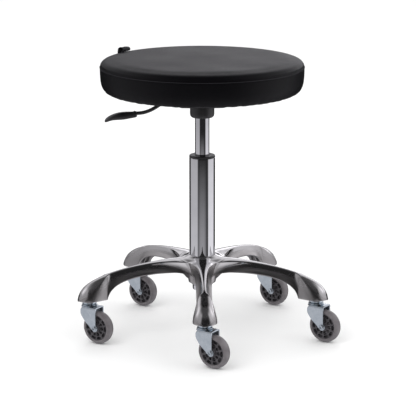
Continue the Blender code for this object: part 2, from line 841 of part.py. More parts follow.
def lever_grip():
    """The moulded handle: flat oval sections along a line that droops to its tip."""
    start = lever_line()[-1][0] + 0.0220
    z = lever_line()[-1][1] + 0.0008
    sections = [  # along, drop, half thickness, half width
        (0.000, 0.0000, 0.0046, 0.0065),
        (0.004, 0.0005, 0.0058, 0.0080),
        (0.014, 0.0020, 0.0060, 0.0095),
        (0.028, 0.0040, 0.0066, 0.0125),
        (0.042, 0.0060, 0.0056, 0.0132),
        (0.054, 0.0100, 0.0042, 0.0120),
        (0.062, 0.0135, 0.0034, 0.0090),
    ]
    sides = 12
    work = bmesh.new()
    loops = []
    for along, drop, thick, wide in sections:
        angles = [2 * math.pi * i / sides for i in range(sides)]
        loops.append(
            [
                work.verts.new((start - along, wide * math.cos(a), z - drop + thick * math.sin(a)))
                for a in angles
            ]
        )
    for a, b in zip(loops, loops[1:]):
        for i in range(sides):
            j = (i + 1) % sides
            work.faces.new((a[i], b[i], b[j], a[j]))
    work.faces.new(loops[0])
    work.faces.new(loops[-1][::-1])
    bmesh.ops.recalc_face_normals(work, faces=work.faces)
    mesh = bpy.data.meshes.new("grip")
    work.to_mesh(mesh)
    work.free()
    line = [(x, 0, z) for x, z in lever_line()[4:]]
    return cut(mesh, wire(line + [(line[-1][0] - GAP, 0, line[-1][2])], LEVER_RADIUS + GAP))


def seat_tab():
    """A folded webbing tab that stands up from the seam and leans over the shoulder."""
    z = SEAT_TOP_Z
    middle = [
        (SEAT_RADIUS + 0.0012, z - SEAM_DROP - 0.0010),
        (SEAT_RADIUS + 0.0012, z - 0.0020),
        (SEAT_RADIUS - 0.0005, z + 0.0040),
        (SEAT_RADIUS - 0.0055, z + 0.0075),
        (SEAT_RADIUS - 0.0110, z + 0.0062),
        (SEAT_RADIUS - 0.0125, z + 0.0020),
    ]
    half = 0.0008
    sides = [[], []]
    for i, point in enumerate(middle):
        before, after = middle[max(i - 1, 0)], middle[min(i + 1, len(middle) - 1)]
        along = Vector((after[0] - before[0], after[1] - before[1])).normalized()
        for side, sign in zip(sides, (1, -1)):
            side.append((point[0] - sign * half * along.y, point[1] + sign * half * along.x))
    tab = prism(sides[0] + sides[1][::-1], -TAB_WIDTH / 2, TAB_WIDTH / 2)
    return turn(turn(tab, "X", math.pi / 2), "Z", TAB_AZIMUTH)


# ---------------------------------------------------------------- casters
def caster_stem():
    """Threaded stud, flange and race, with the kingpin that the fork hangs and turns on."""
    crown_under = CROWN_Z - FORK_SHEET
    return turned(
        [
            (0, FOOT_Z + STUD_LENGTH),
            (STUD_RADIUS - 0.001, FOOT_Z + STUD_LENGTH),
            (STUD_RADIUS, FOOT_Z + STUD_LENGTH - 0.001),
            (STUD_RADIUS, FOOT_Z - GAP),
            (FLANGE_RADIUS, FOOT_Z - GAP),
            (FLANGE_RADIUS, FOOT_Z - 0.0038),
            (FLANGE_RADIUS - 0.0035, FOOT_Z - 0.0048),
            (FLANGE_RADIUS + 0.001, CROWN_Z + 0.0018),
            (FLANGE_RADIUS - 0.001, CROWN_Z + GAP),
            (KINGPIN_RADIUS, CROWN_Z + GAP),
            (KINGPIN_RADIUS, crown_under - GAP),
            (0.0075, crown_under - GAP),
            (0.0060, crown_under - 0.0030),
            (0, crown_under - 0.0030),
        ],
        12,
    )


def caster_fork():
    """A pressed fork: a crown plate with a cheek each side, shaped down to the axle."""
    back, front, corner = -0.0135, TRAIL + 0.0025, 0.0080
    half = FORK_HALF - 0.0002
    crown = [(front, -half), (front, half)]
    crown += arc((back + corner, half - corner), corner, 90, 180, 3)
    crown += arc((back + corner, corner - half), corner, 180, 270, 3)
    fold = CROWN_Z - FORK_SHEET / 2
    cheek = [
        (front - 0.0004, fold),
        (back + corner, fold),
        (back + 0.0010, CROWN_Z - 0.006),
        (back + 0.0025, CROWN_Z - 0.016),
        (back + 0.0100, CROWN_Z - 0.0275),
    ]
    cheek += arc((TRAIL, AXLE_Z), FORK_BOSS, 208, 365, 7)
    sides = []
    for y in (-FORK_HALF, FORK_HALF - FORK_SHEET):
        plate = turn(prism(cheek, 0, FORK_SHEET), "X", math.pi / 2)
        sides.append(shift(plate, (0, y + FORK_SHEET, 0)))
    axle = shift(turn(rod(AXLE_RADIUS + GAP, -0.03, 0.03, 12), "X", math.pi / 2), (TRAIL, 0, AXLE_Z))
    kingpin = rod(KINGPIN_RADIUS + RUNNING, CROWN_Z - 0.01, CROWN_Z + 0.01, 12)
    return cut(join(prism(crown, CROWN_Z - FORK_SHEET, CROWN_Z), *sides), axle, kingpin)


def axle_bolt():
    """Drawn along Z, head up: it is turned onto the axle when it is placed."""
    under = FORK_HALF + GAP
    return turned(
        [
            (0, under + 0.0030),
            (0.0030, under + 0.0030),
            (0.0046, under + 0.0018),
            (0.0050, under),
            (AXLE_RADIUS, under),
            (AXLE_RADIUS, -under - 0.0062),
            (0, -under - 0.0062),
        ],
        12,
    )


def axle_nut():
    nut = rod(0.0056, -FORK_HALF - GAP - 0.0048, -FORK_HALF - GAP, 6)
    return cut(nut, rod(AXLE_RADIUS + GAP, -0.05, 0.0, 12))


def wheel_tyre():
    r, inner, half = WHEEL_RADIUS, WHEEL_RADIUS - TYRE_DEPTH, TYRE_WIDTH / 2
    return turned(
        [
            (inner, half - 0.0015),
            (r - 0.0045, half),
            (r - 0.0014, half - 0.0036),
            (r, half - 0.0075),
            (r, -half + 0.0075),
            (r - 0.0014, -half + 0.0036),
            (r - 0.0045, -half),
            (inner, -half + 0.0015),
        ],
        2 * CORE_SIDES,
        ring=True,
    )


def wheel_core():
    """Hub, web with five openings, and rim."""
    rim, half, hub = WHEEL_RADIUS - TYRE_DEPTH - GAP, CORE_WIDTH / 2, CORE_HUB_RADIUS
    web, lip, bore = 0.0040, TYRE_WIDTH / 2 - 0.0025, AXLE_RADIUS + RUNNING
    core = turned(
        [
            (hub, half),
            (hub, web),
            (rim - 0.0025, web),
            (rim - 0.0015, lip),
            (rim, lip),
            (rim, -lip),
            (rim - 0.0015, -lip),
            (rim - 0.0025, -web),
            (hub, -web),
            (hub, -half),
            (bore, -half),
            (bore, half),
        ],
        CORE_SIDES,
        ring=True,
    )
    middle, size = (hub + rim - 0.0025) / 2, (rim - 0.0025 - hub) / 2 - 0.0012
    for k in range(5):
        angle = 2 * math.pi * k / 5
        place = (middle * math.cos(angle), middle * math.sin(angle), 0)
        core = cut(core, shift(rod(size, -0.01, 0.01, 6), place))
    return core


def casters(frame):
    """Five casters, each on an empty at its stem, with its wheel on another at its axle."""
    meshes = {
        "stem": caster_stem(),
        "fork": caster_fork(),
        "bolt": axle_bolt(),
        "nut": axle_nut(),
        "tyre": wheel_tyre(),
        "core": wheel_core(),
    }
    for k in range(ARM_COUNT):
        angle = arm_angle(k)
        place = (STEM_CIRCLE * math.cos(angle), STEM_CIRCLE * math.sin(angle), 0)
        stem = part(f"caster_stem_{k + 1}", meshes["stem"], "zinc", frame)
        stem.location = place
        swivel = empty(f"caster_axis_{k + 1}", frame, place, CASTER_HEADING)
        wheel = empty(f"wheel_axis_{k + 1}", swivel, (TRAIL, 0, AXLE_Z))
        wheel.rotation_euler.x = math.pi / 2
        part(f"caster_fork_{k + 1}", meshes["fork"], "zinc", swivel)
        for name in ("bolt", "nut"):
            piece = part(f"axle_{name}_{k + 1}", meshes[name], "zinc", swivel)
            piece.location, piece.rotation_euler = wheel.location, wheel.rotation_euler
        part(f"wheel_tyre_{k + 1}", meshes["tyre"], "grey_tyre", wheel)
        part(f"wheel_core_{k + 1}", meshes["core"], "grey_core", wheel)


# ---------------------------------------------------------------- the stool
def base_and_column(frame):
    part("star_base", star_base(), "polished_aluminium", frame)
    part("column_tube", column_tube(), "chrome", frame)
    part("column_bush", column_bush(), "black_plastic", frame)


def lift_rod(axis):
    part("piston_rod", piston_rod(), "steel", axis)
    part("piston", piston(), "rubber", axis)
    part("thrust_bearing", thrust_bearing(), "steel", axis)
    part("rod_buffer", rod_buffer(), "rubber", axis)
    part("rod_clip", rod_clip(), "steel", axis)


def seat(axis):
    part("pressure_tube", pressure_tube(), "chrome", axis)
    part("tube_gland", tube_gland(), "rubber", axis)
    part("bracket_socket", bracket_socket(), "black_steel", axis)
    part("socket_collar", socket_collar(), "black_plastic", axis)
    part("seat_bracket", seat_bracket(), "black_steel", axis)
    part("seat_board", seat_board(), "plywood", axis)
    part("seat_foam", seat_foam(), "foam", axis)
    part("seat_cover", seat_cover(), "black_vinyl", axis)
    part("dust_cover", dust_cover(), "black_cloth", axis)
    part("seat_tab", seat_tab(), "black_cloth", axis)
    bolt, nut = bracket_bolt(), tee_nut()
    for k, (x, y) in enumerate(bolt_places()):
        part(f"bracket_bolt_{k + 1}", bolt, "zinc", axis).location = (x, y, PLATE_TOP_Z - SHEET)
        part(f"tee_nut_{k + 1}", nut, "zinc", axis).location = (x, y, 0)
    pin = part("lever_pivot_pin", lever_pivot_pin(), "steel", axis)
    pin.location = (-PIVOT_REACH, 0, PIVOT_Z)
    part("release_pin", release_pin(), "steel", empty("release_axis", axis))


def lever(axis):
    """The lever's pieces are drawn in the stool's frame, and their origin goes to the pivot."""
    pivot = Vector((-PIVOT_REACH, 0, PIVOT_Z))
    holder = empty("lever_axis", axis, pivot)
    part("lever_rod", shift(lever_rod(), -pivot), "black_steel", holder)
    part("lever_grip", shift(lever_grip(), -pivot), "black_plastic", holder)


def centre_on_origin(frame):
    """Moves the stool so that the middle of its outline, seen from above, is over the origin."""
    bpy.context.view_layer.update()
    graph = bpy.context.evaluated_depsgraph_get()
    corners = []
    for obj in STOOL.objects:
        if obj.type == "MESH":
            shown = obj.evaluated_get(graph)
            corners += [shown.matrix_world @ v.co for v in shown.data.vertices]
    for axis in (0, 1):
        low, high = min(c[axis] for c in corners), max(c[axis] for c in corners)
        frame.location[axis] = -round((low + high) / 2, 3)


def main():
    frame = empty("stool_axis", None)
    base_and_column(frame)
    casters(frame)
    lift_rod(empty("swivel_axis", frame))
    seat_axis = empty("seat_axis", frame)
    seat(seat_axis)
    lever(seat_axis)
    centre_on_origin(frame)


for old in list(bpy.data.objects):
    bpy.data.objects.remove(old)
STOOL = bpy.data.collections.new("swivel_stool")
bpy.context.scene.collection.children.link(STOOL)
main()
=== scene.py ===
"""The looks of an adjustable swivel stool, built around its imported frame.

Shapes are worked out in millimetres about the column's axis, with the floor at height 0, and piece()
puts them in their place in metres. A shape is one or more grids of points: rows by columns by three.
"""

import math

import bmesh
import bpy
import numpy as np
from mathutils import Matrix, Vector


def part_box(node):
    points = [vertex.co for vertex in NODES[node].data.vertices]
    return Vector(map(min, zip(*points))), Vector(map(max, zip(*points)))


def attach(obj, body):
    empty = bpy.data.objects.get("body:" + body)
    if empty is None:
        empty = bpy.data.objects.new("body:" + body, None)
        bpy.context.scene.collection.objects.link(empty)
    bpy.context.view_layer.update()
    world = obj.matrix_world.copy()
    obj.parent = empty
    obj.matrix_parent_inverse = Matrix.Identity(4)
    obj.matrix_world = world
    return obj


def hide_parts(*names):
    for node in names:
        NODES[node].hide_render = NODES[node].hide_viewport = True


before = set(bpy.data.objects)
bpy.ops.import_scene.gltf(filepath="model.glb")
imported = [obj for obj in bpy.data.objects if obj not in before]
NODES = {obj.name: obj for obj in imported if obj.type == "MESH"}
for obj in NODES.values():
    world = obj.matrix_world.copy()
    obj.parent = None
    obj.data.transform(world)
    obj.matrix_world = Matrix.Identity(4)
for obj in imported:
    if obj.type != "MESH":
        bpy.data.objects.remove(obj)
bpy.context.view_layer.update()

MM = 0.001
ARMS = 5
TAU = 2 * math.pi


def corners_of(node):
    """The node's lowest and highest corner in metres."""
    low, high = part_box(node)
    return np.array(low), np.array(high)


AXIS = np.append(np.mean(corners_of("column_tube"), axis=0)[:2], 0.0)


def extent(node):
    """The node's lowest and highest corner in millimetres about the column's axis."""
    low, high = corners_of(node)
    return (low - AXIS) / MM, (high - AXIS) / MM


def levels(node):
    """The heights between which the node stands, in millimetres."""
    low, high = extent(node)
    return low[2], high[2]


def aimed(obj, place, aim):
    """Puts a lamp or camera at place, looking at aim."""
    obj.location = place
    obj.rotation_mode = "QUATERNION"
    obj.rotation_quaternion = Vector(np.array(aim) - np.array(place)).to_track_quat("-Z", "Y")


# ---------------------------------------------------------------- sizes taken from the frame
FOOT, HUB_TOP = levels("star_base")
COLUMN_LOW, COLUMN_TOP = levels("column_tube")
COLUMN_R = extent("column_tube")[1][0]
TUBE_R = extent("pressure_tube")[1][0]
SEAT_R = extent("seat_cover")[1][0]
SEAT_LOW, SEAT_TOP = levels("seat_cover")
STEM = float(np.hypot(*np.mean(extent("caster_stem_1"), axis=0)[:2]))
WHEEL_R = extent("wheel_tyre_1")[1][2] / 2
CROWN = extent("caster_fork_1")[1][2]
CASTER_HEADING = math.radians(-35.2)
TRAIL = 21.0  # from a caster's stem to its axle
HUB_LOW = HUB_TOP - 55.5
ROOT = COLUMN_R + 1.1  # where the casting's skin starts
VALLEY = 47.0  # the radius at which two arms part
FIFTH = math.pi / ARMS  # half the angle between two arms
FOOT_R = 22.9  # the rounded foot's radius about its caster's stem
HEX = 5.0  # half the width across flats of the small bolts and nuts


# ---------------------------------------------------------------- curves
def bezier(controls, count):
    """A cubic curve with four controls, at count even steps of its parameter."""
    t = np.linspace(0, 1, count)[:, None]
    a, b, c, d = (np.array(p, float) for p in controls)
    return (1 - t) ** 3 * a + 3 * (1 - t) ** 2 * t * b + 3 * (1 - t) * t**2 * c + t**3 * d


def flowing(table, x):
    """A smooth line through (place, value) pairs: cubic between neighbours, with each slope the
    harmonic mean of the slopes on its two sides, or level at a peak, so that it never overshoots."""
    place, value = np.array(table, float).T
    x = np.clip(np.asarray(x, float), place[0], place[-1])
    step = np.diff(place)
    rise = np.diff(value) / step
    a, b = rise[:-1], rise[1:]
    same = a * b > 0
    middle = np.where(same, 2 * a * b / np.where(same, a + b, 1), 0)
    slope = np.concatenate([rise[:1], middle, rise[-1:]])
    i = np.clip(np.searchsorted(place, x, side="right") - 1, 0, len(step) - 1)
    t, h = (x - place[i]) / step[i], step[i]
    return (
        (2 * t**3 - 3 * t**2 + 1) * value[i]
        + (t**3 - 2 * t**2 + t) * h * slope[i]
        + (3 * t**2 - 2 * t**3) * value[i + 1]
        + (t**3 - t**2) * h * slope[i + 1]
    )


def eased(outline, radius, steps=4, closed=True):
    """The outline with each corner rounded: a quadratic curve that leaves both sides at radius from
    the corner, or at 45 % of a side that is too short. The ends of an open outline stay sharp."""
    p = np.array(outline, float)
    radius = np.broadcast_to(np.asarray(radius, float), len(p))[:, None]
    back, on = np.roll(p, 1, 0) - p, np.roll(p, -1, 0) - p
    far_back, far_on = (np.linalg.norm(v, axis=1, keepdims=True) + 1e-9 for v in (back, on))
    start = p + back / far_back * np.minimum(radius, 0.45 * far_back)
    end = p + on / far_on * np.minimum(radius, 0.45 * far_on)
    t = np.linspace(0, 1, steps)[None, :, None]
    curve = (1 - t) ** 2 * start[:, None] + 2 * t * (1 - t) * p[:, None] + t**2 * end[:, None]
    if closed:
        line = curve.reshape(-1, 2)
        return np.vstack([line, line[:1]])
    return np.vstack([p[:1], curve[1:-1].reshape(-1, 2), p[-1:]])


def smoothstep(x, low, high):
    t = np.clip((x - low) / (high - low), 0, 1)
    return t * t * (3 - 2 * t)


# ---------------------------------------------------------------- surfaces
def turned(profile, angles=96, hexagon=None):
    """A profile of (radius, height) carried round the Z axis: row i of the grid stands at angle i.
    With hexagon, half its width across flats, no point lies further out than the hexagon's side."""
    if isinstance(angles, int):
        angles = np.linspace(0, TAU, angles + 1)
    profile, a = np.array(profile, float), np.asarray(angles)[:, None]
    r = np.broadcast_to(profile[None, :, 0], (len(a), len(profile)))
    if hexagon:
        r = np.minimum(r, hexagon / np.cos((a % (TAU / 6)) - TAU / 12))
    z = np.broadcast_to(profile[None, :, 1], r.shape)
    return np.stack([r * np.cos(a), r * np.sin(a), z], -1)


def swept(path, across, thick, around=24, power=2.0, side=(0, 1, 0)):
    """A rounded section carried along a path that lies in the plane square to side: across is its
    half width along side and thick its half thickness; power 2 is an oval and more is squarer.
    Both ends close on their middle."""
    path = np.array(path, float)
    side = np.array(side, float)
    along = np.gradient(path, axis=0)
    along /= np.linalg.norm(along, axis=1, keepdims=True)
    up = np.cross(along, side)
    a = np.linspace(0, TAU, around + 1)[None, :, None]
    c, s = np.cos(a), np.sin(a)
    reach = (np.abs(c) ** power + np.abs(s) ** power) ** (-1 / power)
    across, thick = (np.broadcast_to(v, len(path))[:, None, None] for v in (across, thick))
    grid = path[:, None] + reach * c * across * side + reach * s * thick * up[:, None]
    return capped(grid)


def capped(grid):
    """The grid with its first and last row closed by a row that is all one point, their middle."""
    first, last = (np.repeat(grid[i : i + 1, :-1].mean(1, keepdims=True), grid.shape[1], 1) for i in (0, -1))
    return np.concatenate([first, grid, last])


def placed(grid, origin=(0, 0, 0), heading=0.0, tip=None):
    """The grid turned by heading about Z and moved to origin. With tip, +Z is first laid over onto
    the heading's own left side, -Y, so that a turned shape lies along an axle."""
    x, y, z = np.moveaxis(np.asarray(grid, float), -1, 0)
    if tip:
        y, z = -z, y
    c, s = math.cos(heading), math.sin(heading)
    return np.stack([c * x - s * y, s * x + c * y, z], -1) + np.array(origin, float)


def faces_of(rows, columns, start):
    """Quads between neighbours of a grid numbered row by row; each looks along row x column."""
    i, j = np.arange(rows - 1)[:, None], np.arange(columns - 1)[None, :]
    corner = start + i * columns + j
    return np.stack([corner, corner + columns, corner + columns + 1, corner + 1], -1).reshape(-1, 4)


def mesh_of(name, grids, values=None, keep=None, recalculate=True):
    """One mesh from all grids, welded where they meet. values, an array per grid, become the float attribute
    that the aluminium finish reads for its brush finish and its painted darker grey; keep, a mask per grid or
    None, says which faces stay."""
    points = np.concatenate([g.reshape(-1, 3) for g in grids])
    faces, start = [], 0
    for k, g in enumerate(grids):
        quads = faces_of(g.shape[0], g.shape[1], start)
        if keep and keep[k] is not None:
            quads = quads[keep[k].reshape(-1)]
        faces.append(quads)
        start += g.shape[0] * g.shape[1]
    faces = np.concatenate(faces).astype(np.int32)
    mesh = bpy.data.meshes.new(name)
    mesh.vertices.add(len(points))
    mesh.vertices.foreach_set("co", (points * MM + AXIS).astype(np.float32).ravel())
    mesh.loops.add(faces.size)
    mesh.loops.foreach_set("vertex_index", faces.ravel())
    mesh.polygons.add(len(faces))
    mesh.polygons.foreach_set("loop_start", np.arange(0, faces.size, 4, dtype=np.int32))
    mesh.update(calc_edges=True)
    if values is not None:
        layer = mesh.attributes.new("brushed", "FLOAT", "POINT")
        layer.data.foreach_set("value", np.concatenate([v.ravel() for v in values]).astype(np.float32))
    work = bmesh.new()
    work.from_mesh(mesh)
    bmesh.ops.remove_doubles(work, verts=work.verts, dist=4e-6)
    bmesh.ops.dissolve_degenerate(work, edges=work.edges, dist=1e-6)
    loose = [v for v in work.verts if not v.link_faces]
    bmesh.ops.delete(work, geom=loose, context="VERTS")
    if recalculate:
        bmesh.ops.recalc_face_normals(work, faces=work.faces)
    work.to_mesh(mesh)
    work.free()
    return mesh


def settle(obj, sharp):
    """The object's modifiers worked into its mesh, which is shaded smooth apart from its corners."""
    bpy.context.view_layer.update()
    graph = bpy.context.evaluated_depsgraph_get()
    mesh = bpy.data.meshes.new_from_object(obj.evaluated_get(graph))
    obj.modifiers.clear()
    obj.data = mesh
    mesh.shade_smooth()
    mesh.set_sharp_from_angle(angle=math.radians(sharp))


def piece(name, grids, finish, body, slot, stands_for=(), wall=0.0, bevel=0.0, level=0, sharp=38, **more):
    """A finished piece: its grids as one mesh, with a wall, a bevel and a subdivision where asked."""
    obj = bpy.data.objects.new(name, mesh_of(name, grids, **more))
    bpy.context.scene.collection.objects.link(obj)
    if wall:
        solid = obj.modifiers.new("wall", "SOLIDIFY")
        solid.thickness, solid.offset = abs(wall) * MM, -1.0 if wall > 0 else 1.0
        solid.use_even_offset = False
    if bevel:
        edge = obj.modifiers.new("edges", "BEVEL")
        edge.width, edge.segments, edge.limit_method = bevel * MM, 2, "ANGLE"
        edge.angle_limit = math.radians(45)
    if level:
        fine = obj.modifiers.new("fine", "SUBSURF")
        fine.levels = fine.render_levels = level
    settle(obj, sharp)
    obj.data.materials.clear()
    obj.data.materials.append(finish)
    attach(obj, body)
    if stands_for:
        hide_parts(*([stands_for] if isinstance(stands_for, str) else stands_for))
    return obj


# ---------------------------------------------------------------- finishes
class Wire:
    """One socket of a material's nodes. Its operators add Math nodes, and node() adds any other."""

    def __init__(self, tree, socket=None):
        self.tree, self.socket = tree, socket

    def node(self, kind, settings=(), inputs=(), out=0):
        """A node of this kind: its settings are put first, then the values or wires of its sockets.
        A ramp's stops, pairs of place and colour, are one of its settings."""
        made = self.tree.nodes.new("ShaderNode" + kind)
        for name, value in dict(settings).items():
            if name == "stops":
                ramp = made.color_ramp.elements
                while len(ramp) < len(value):
                    ramp.new(1.0)
                for stop, (place, colour) in zip(ramp, value):
                    stop.position, stop.color = place, (*colour, 1)
            else:
                setattr(made, name, value)
        for name, value in dict(inputs).items():
            if isinstance(value, Wire):
                self.tree.links.new(value.socket, made.inputs[name])
            else:
                made.inputs[name].default_value = value
        return Wire(self.tree, made.outputs[out])

    def reckon(self, operation, *values):
        return self.node("Math", {"operation": operation}, dict(enumerate(values)))

    def __add__(self, other):
        return self.reckon("ADD", self, other)

    def __sub__(self, other):
        return self.reckon("SUBTRACT", self, other)

    def __rsub__(self, other):
        return self.reckon("SUBTRACT", other, self)

    def __mul__(self, other):
        return self.reckon("MULTIPLY", self, other)

    def __truediv__(self, other):
        return self.reckon("DIVIDE", self, other)

    def __rtruediv__(self, other):
        return self.reckon("DIVIDE", other, self)

    def __pow__(self, other):
        return self.reckon("POWER", self, other)

    __radd__, __rmul__ = __add__, __mul__

    def ramp(self, low, high, to_low=0.0, to_high=1.0):
        """This value carried from low..high onto to_low..to_high, and held there outside it."""
        inputs = {"Value": self, "From Min": low, "From Max": high, "To Min": to_low, "To Max": to_high}
        return self.node("MapRange", {"clamp": True}, inputs)

    def place(self):
        return self.node("TexCoord", out=3)

    def stretched(self, scale, turn=(0, 0, 0)):
        """The place on the piece, in metres, drawn out by scale along each axis."""
        return self.node("Mapping", inputs={"Vector": self.place(), "Scale": scale, "Rotation": turn})

    def noise(self, scale, detail=3.0, roughness=0.5, at=None):
        at = at or self.place()
        inputs = {"Vector": at, "Scale": scale, "Detail": detail, "Roughness": roughness}
        return self.node("TexNoise", inputs=inputs)

    def cells(self, scale, feature="DISTANCE_TO_EDGE", at=None):
        at = at or self.place()
        return self.node("TexVoronoi", {"feature": feature}, {"Vector": at, "Scale": scale})

    def between(self, a, b):
        """Colour a where this is 0, and b where it is 1."""
        return self.node("Mix", {"data_type": "RGBA"}, {0: self, 6: (*a, 1), 7: (*b, 1)}, out=2)

    def bumps(self, depth, strength=1.0, under=None):
        inputs = {"Height": self, "Distance": depth, "Strength": strength}
        if under:
            inputs["Normal"] = under
        return self.node("Bump", inputs=inputs)


def finish(name, paint, **fixed):
    """A material: fixed values go straight on the shader's sockets, and paint(wire) returns wires
    for the sockets that vary over the surface."""
    made = bpy.data.materials.new(name)
    made.use_nodes = True
    tree = made.node_tree
    shader = tree.nodes["Principled BSDF"]
    for socket, value in fixed.items():
        shader.inputs[socket.replace("_", " ")].default_value = value
    for socket, wire in paint(Wire(tree)).items():
        tree.links.new(wire.socket, shader.inputs[socket.replace("_", " ")])
    return made


def cast_and_polished(w):
    """Bright polish with faint swirls, and a rougher, darker grey where the attribute says so: a brush finish
    whose darker colour is partly painted shade and painted reflection.
    """
    brushed = w.node("Attribute", {"attribute_name": "brushed"}, out=2)
    grain = w.noise(900, 4, 0.6)
    cloud = w.noise(26, 3)
    swirl = w.noise(1500, 2, 0.5, at=w.stretched((1, 1, 0.12)))
    # where the attribute is high the finish is rougher and the colour is painted darker, as shade and
    # reflection
    shade = (brushed * (0.85 + 0.15 * cloud)).between((0.72, 0.71, 0.71), (0.40, 0.385, 0.38))
    rough = (0.07 + 0.03 * cloud) + brushed * (0.21 + 0.12 * grain)
    relief = swirl.bumps(0.00002, 0.25, under=(grain * brushed).bumps(0.00010, 0.5))
    return {"Base_Color": shade, "Roughness": rough, "Normal": relief}


def bright_plate(w):
    """Mirror plating with a breath of haze and hairlines."""
    haze, hair = w.noise(35, 4), w.noise(2400, 2, 0.5, at=w.stretched((1, 1, 0.03)))
    return {
        "Base_Color": haze.ramp(0.3, 0.7).between((0.72, 0.72, 0.74), (0.78, 0.78, 0.80)),
        "Roughness": 0.035 + 0.035 * haze.ramp(0.4, 0.8),
        "Normal": hair.bumps(0.000008, 0.25),
    }


def clouded_zinc(w):
    """Bluish zinc plating on pressed steel: soft clouds, fine rolling marks, duller in patches."""
    cloud, fine = w.noise(70, 4, 0.6), w.noise(1300, 3, 0.6)
    rolled = w.noise(900, 3, 0.6, at=w.stretched((1, 1, 0.08)))
    return {
        "Base_Color": cloud.ramp(0.3, 0.7).between((0.52, 0.58, 0.63), (0.68, 0.74, 0.79)),
        "Roughness": 0.13 + 0.12 * cloud.ramp(0.3, 0.75) + 0.05 * fine,
        "Normal": rolled.bumps(0.00004, 0.4, under=fine.bumps(0.00005, 0.3)),
    }


def turned_steel(w):
    fine = w.noise(1800, 3, 0.6)
    return {
        "Base_Color": w.noise(60, 3).ramp(0.3, 0.7).between((0.30, 0.30, 0.31), (0.44, 0.44, 0.45)),
        "Roughness": 0.28 + 0.15 * fine,
        "Normal": fine.bumps(0.00004, 0.4),
    }


def leather_grain(w):
    """Soft black upholstery vinyl: small pebbles parted by fine furrows over a slow unevenness."""
    warped = w.noise(220, 2).ramp(0, 1, -0.5, 0.5)
    at = w.node("VectorMath", {"operation": "MULTIPLY_ADD"}, {0: warped, 1: (0.0022,) * 3, 2: w.place()})
    furrow = w.cells(620, at=at).ramp(0.0, 0.16)
    fold = w.noise(1900, 4, 0.65)
    slow = w.noise(11, 3)
    relief = fold.bumps(0.00007, 0.5, under=furrow.bumps(0.00011, 0.55, under=slow.bumps(0.0020, 0.35)))
    return {
        # the furrows between the pebbles are painted darker, as shade in them; the slow unevenness is the
        # vinyl's own uneven tone
        "Base_Color": (furrow * slow.ramp(0.3, 0.7, 0.55, 1.0)).between(
            (0.0008, 0.0007, 0.0012), (0.0022, 0.0019, 0.0032)),
        "Roughness": 0.36 + 0.10 * slow - 0.07 * furrow + 0.08 * fold,
        "Normal": relief,
    }


def spark_eroded(w):
    """Moulded black plastic: a fine even texture, shinier where hands rub it."""
    grit, worn = w.noise(2200, 3, 0.6), w.noise(45, 3)
    return {
        "Base_Color": worn.ramp(0.3, 0.7).between((0.010, 0.010, 0.011), (0.018, 0.017, 0.019)),
        "Roughness": 0.27 + 0.14 * worn + 0.08 * grit,
        "Normal": grit.bumps(0.00005, 0.5),
    }


def powder_coat(w):
    """Black powder coat: the orange-peel ripple of paint that was melted on."""
    peel, dust = w.cells(420, "SMOOTH_F1"), w.noise(50, 4)
    return {
        "Base_Color": dust.ramp(0.35, 0.75).between((0.012, 0.012, 0.013), (0.024, 0.023, 0.024)),
        "Roughness": 0.34 + 0.14 * dust,
        "Normal": peel.bumps(0.00012, 0.45),
    }


def soft_tyre(w):
    """Grey cast urethane, a little cloudy, with fine mould lines and floor scuffs."""
    cloud, scuff = w.noise(90, 4), w.noise(900, 4, 0.7)
    return {
        "Base_Color": cloud.ramp(0.3, 0.7).between((0.115, 0.105, 0.112), (0.160, 0.148, 0.156)),
        "Roughness": 0.24 + 0.12 * cloud + 0.14 * scuff.ramp(0.55, 0.75),
        "Normal": scuff.bumps(0.00006, 0.4),
    }


def moulded_core(w):
    grit, cloud = w.noise(1700, 3, 0.6), w.noise(80, 3)
    return {
        "Base_Color": cloud.ramp(0.3, 0.7).between((0.040, 0.037, 0.042), (0.064, 0.059, 0.065)),
        "Roughness": 0.34 + 0.10 * cloud + 0.06 * grit,
        "Normal": grit.bumps(0.00005, 0.4),
    }


def felted_cloth(w):
    """Non-woven lining: matted fibres pressed with a lattice of small points."""
    mat = w.noise(1100, 5, 0.75, at=w.stretched((1, 0.45, 1), (0, 0, 0.6)))
    points = w.cells(520, "F1").ramp(0.15, 0.35)
    return {
        "Base_Color": mat.ramp(0.35, 0.7).between((0.012, 0.012, 0.013), (0.042, 0.041, 0.043)),
        "Roughness": 0.86 + 0.10 * mat,
        "Normal": (mat * 0.6 + points * 0.5).bumps(0.00022, 0.7),
    }


def woven_tape(w):
    """Narrow webbing: a close twill on the piece's own map, u across the tape and v along it."""
    across = w.node("UVMap", {"uv_map": "tape"})
    lift = w.node("TexWave", {"bands_direction": "DIAGONAL"}, {"Vector": across, "Scale": 9.0})
    warp = w.node("TexWave", {"bands_direction": "X"}, {"Vector": across, "Scale": 12.0})
    weave = lift * 0.5 + warp * 0.5
    return {
        "Base_Color": weave.between((0.008, 0.008, 0.010), (0.034, 0.034, 0.040)),
        "Roughness": 0.62 + 0.2 * weave,
        "Normal": weave.bumps(0.00020, 0.7),
    }


def black_rubber(w):
    fine = w.noise(1500, 3, 0.6)
    return {
        "Base_Color": fine.between((0.012, 0.012, 0.012), (0.028, 0.027, 0.027)),
        "Roughness": 0.72 + 0.15 * fine,
        "Normal": fine.bumps(0.00008, 0.5),
    }


def layered_ply(w):
    """Pale plywood: long grain on its faces and the stacked plies at its edge."""
    grain = w.noise(260, 5, 0.6, at=w.stretched((0.06, 1, 1)))
    stacked = {"Vector": w.place(), "Scale": 110.0, "Distortion": 0.6}
    plies = w.node("TexWave", {"bands_direction": "Z"}, stacked)
    return {
        "Base_Color": (grain * 0.6 + plies * 0.4).between((0.34, 0.21, 0.11), (0.62, 0.45, 0.28)),
        "Roughness": 0.62 + 0.2 * grain,
        "Normal": grain.bumps(0.0002, 0.5),
    }


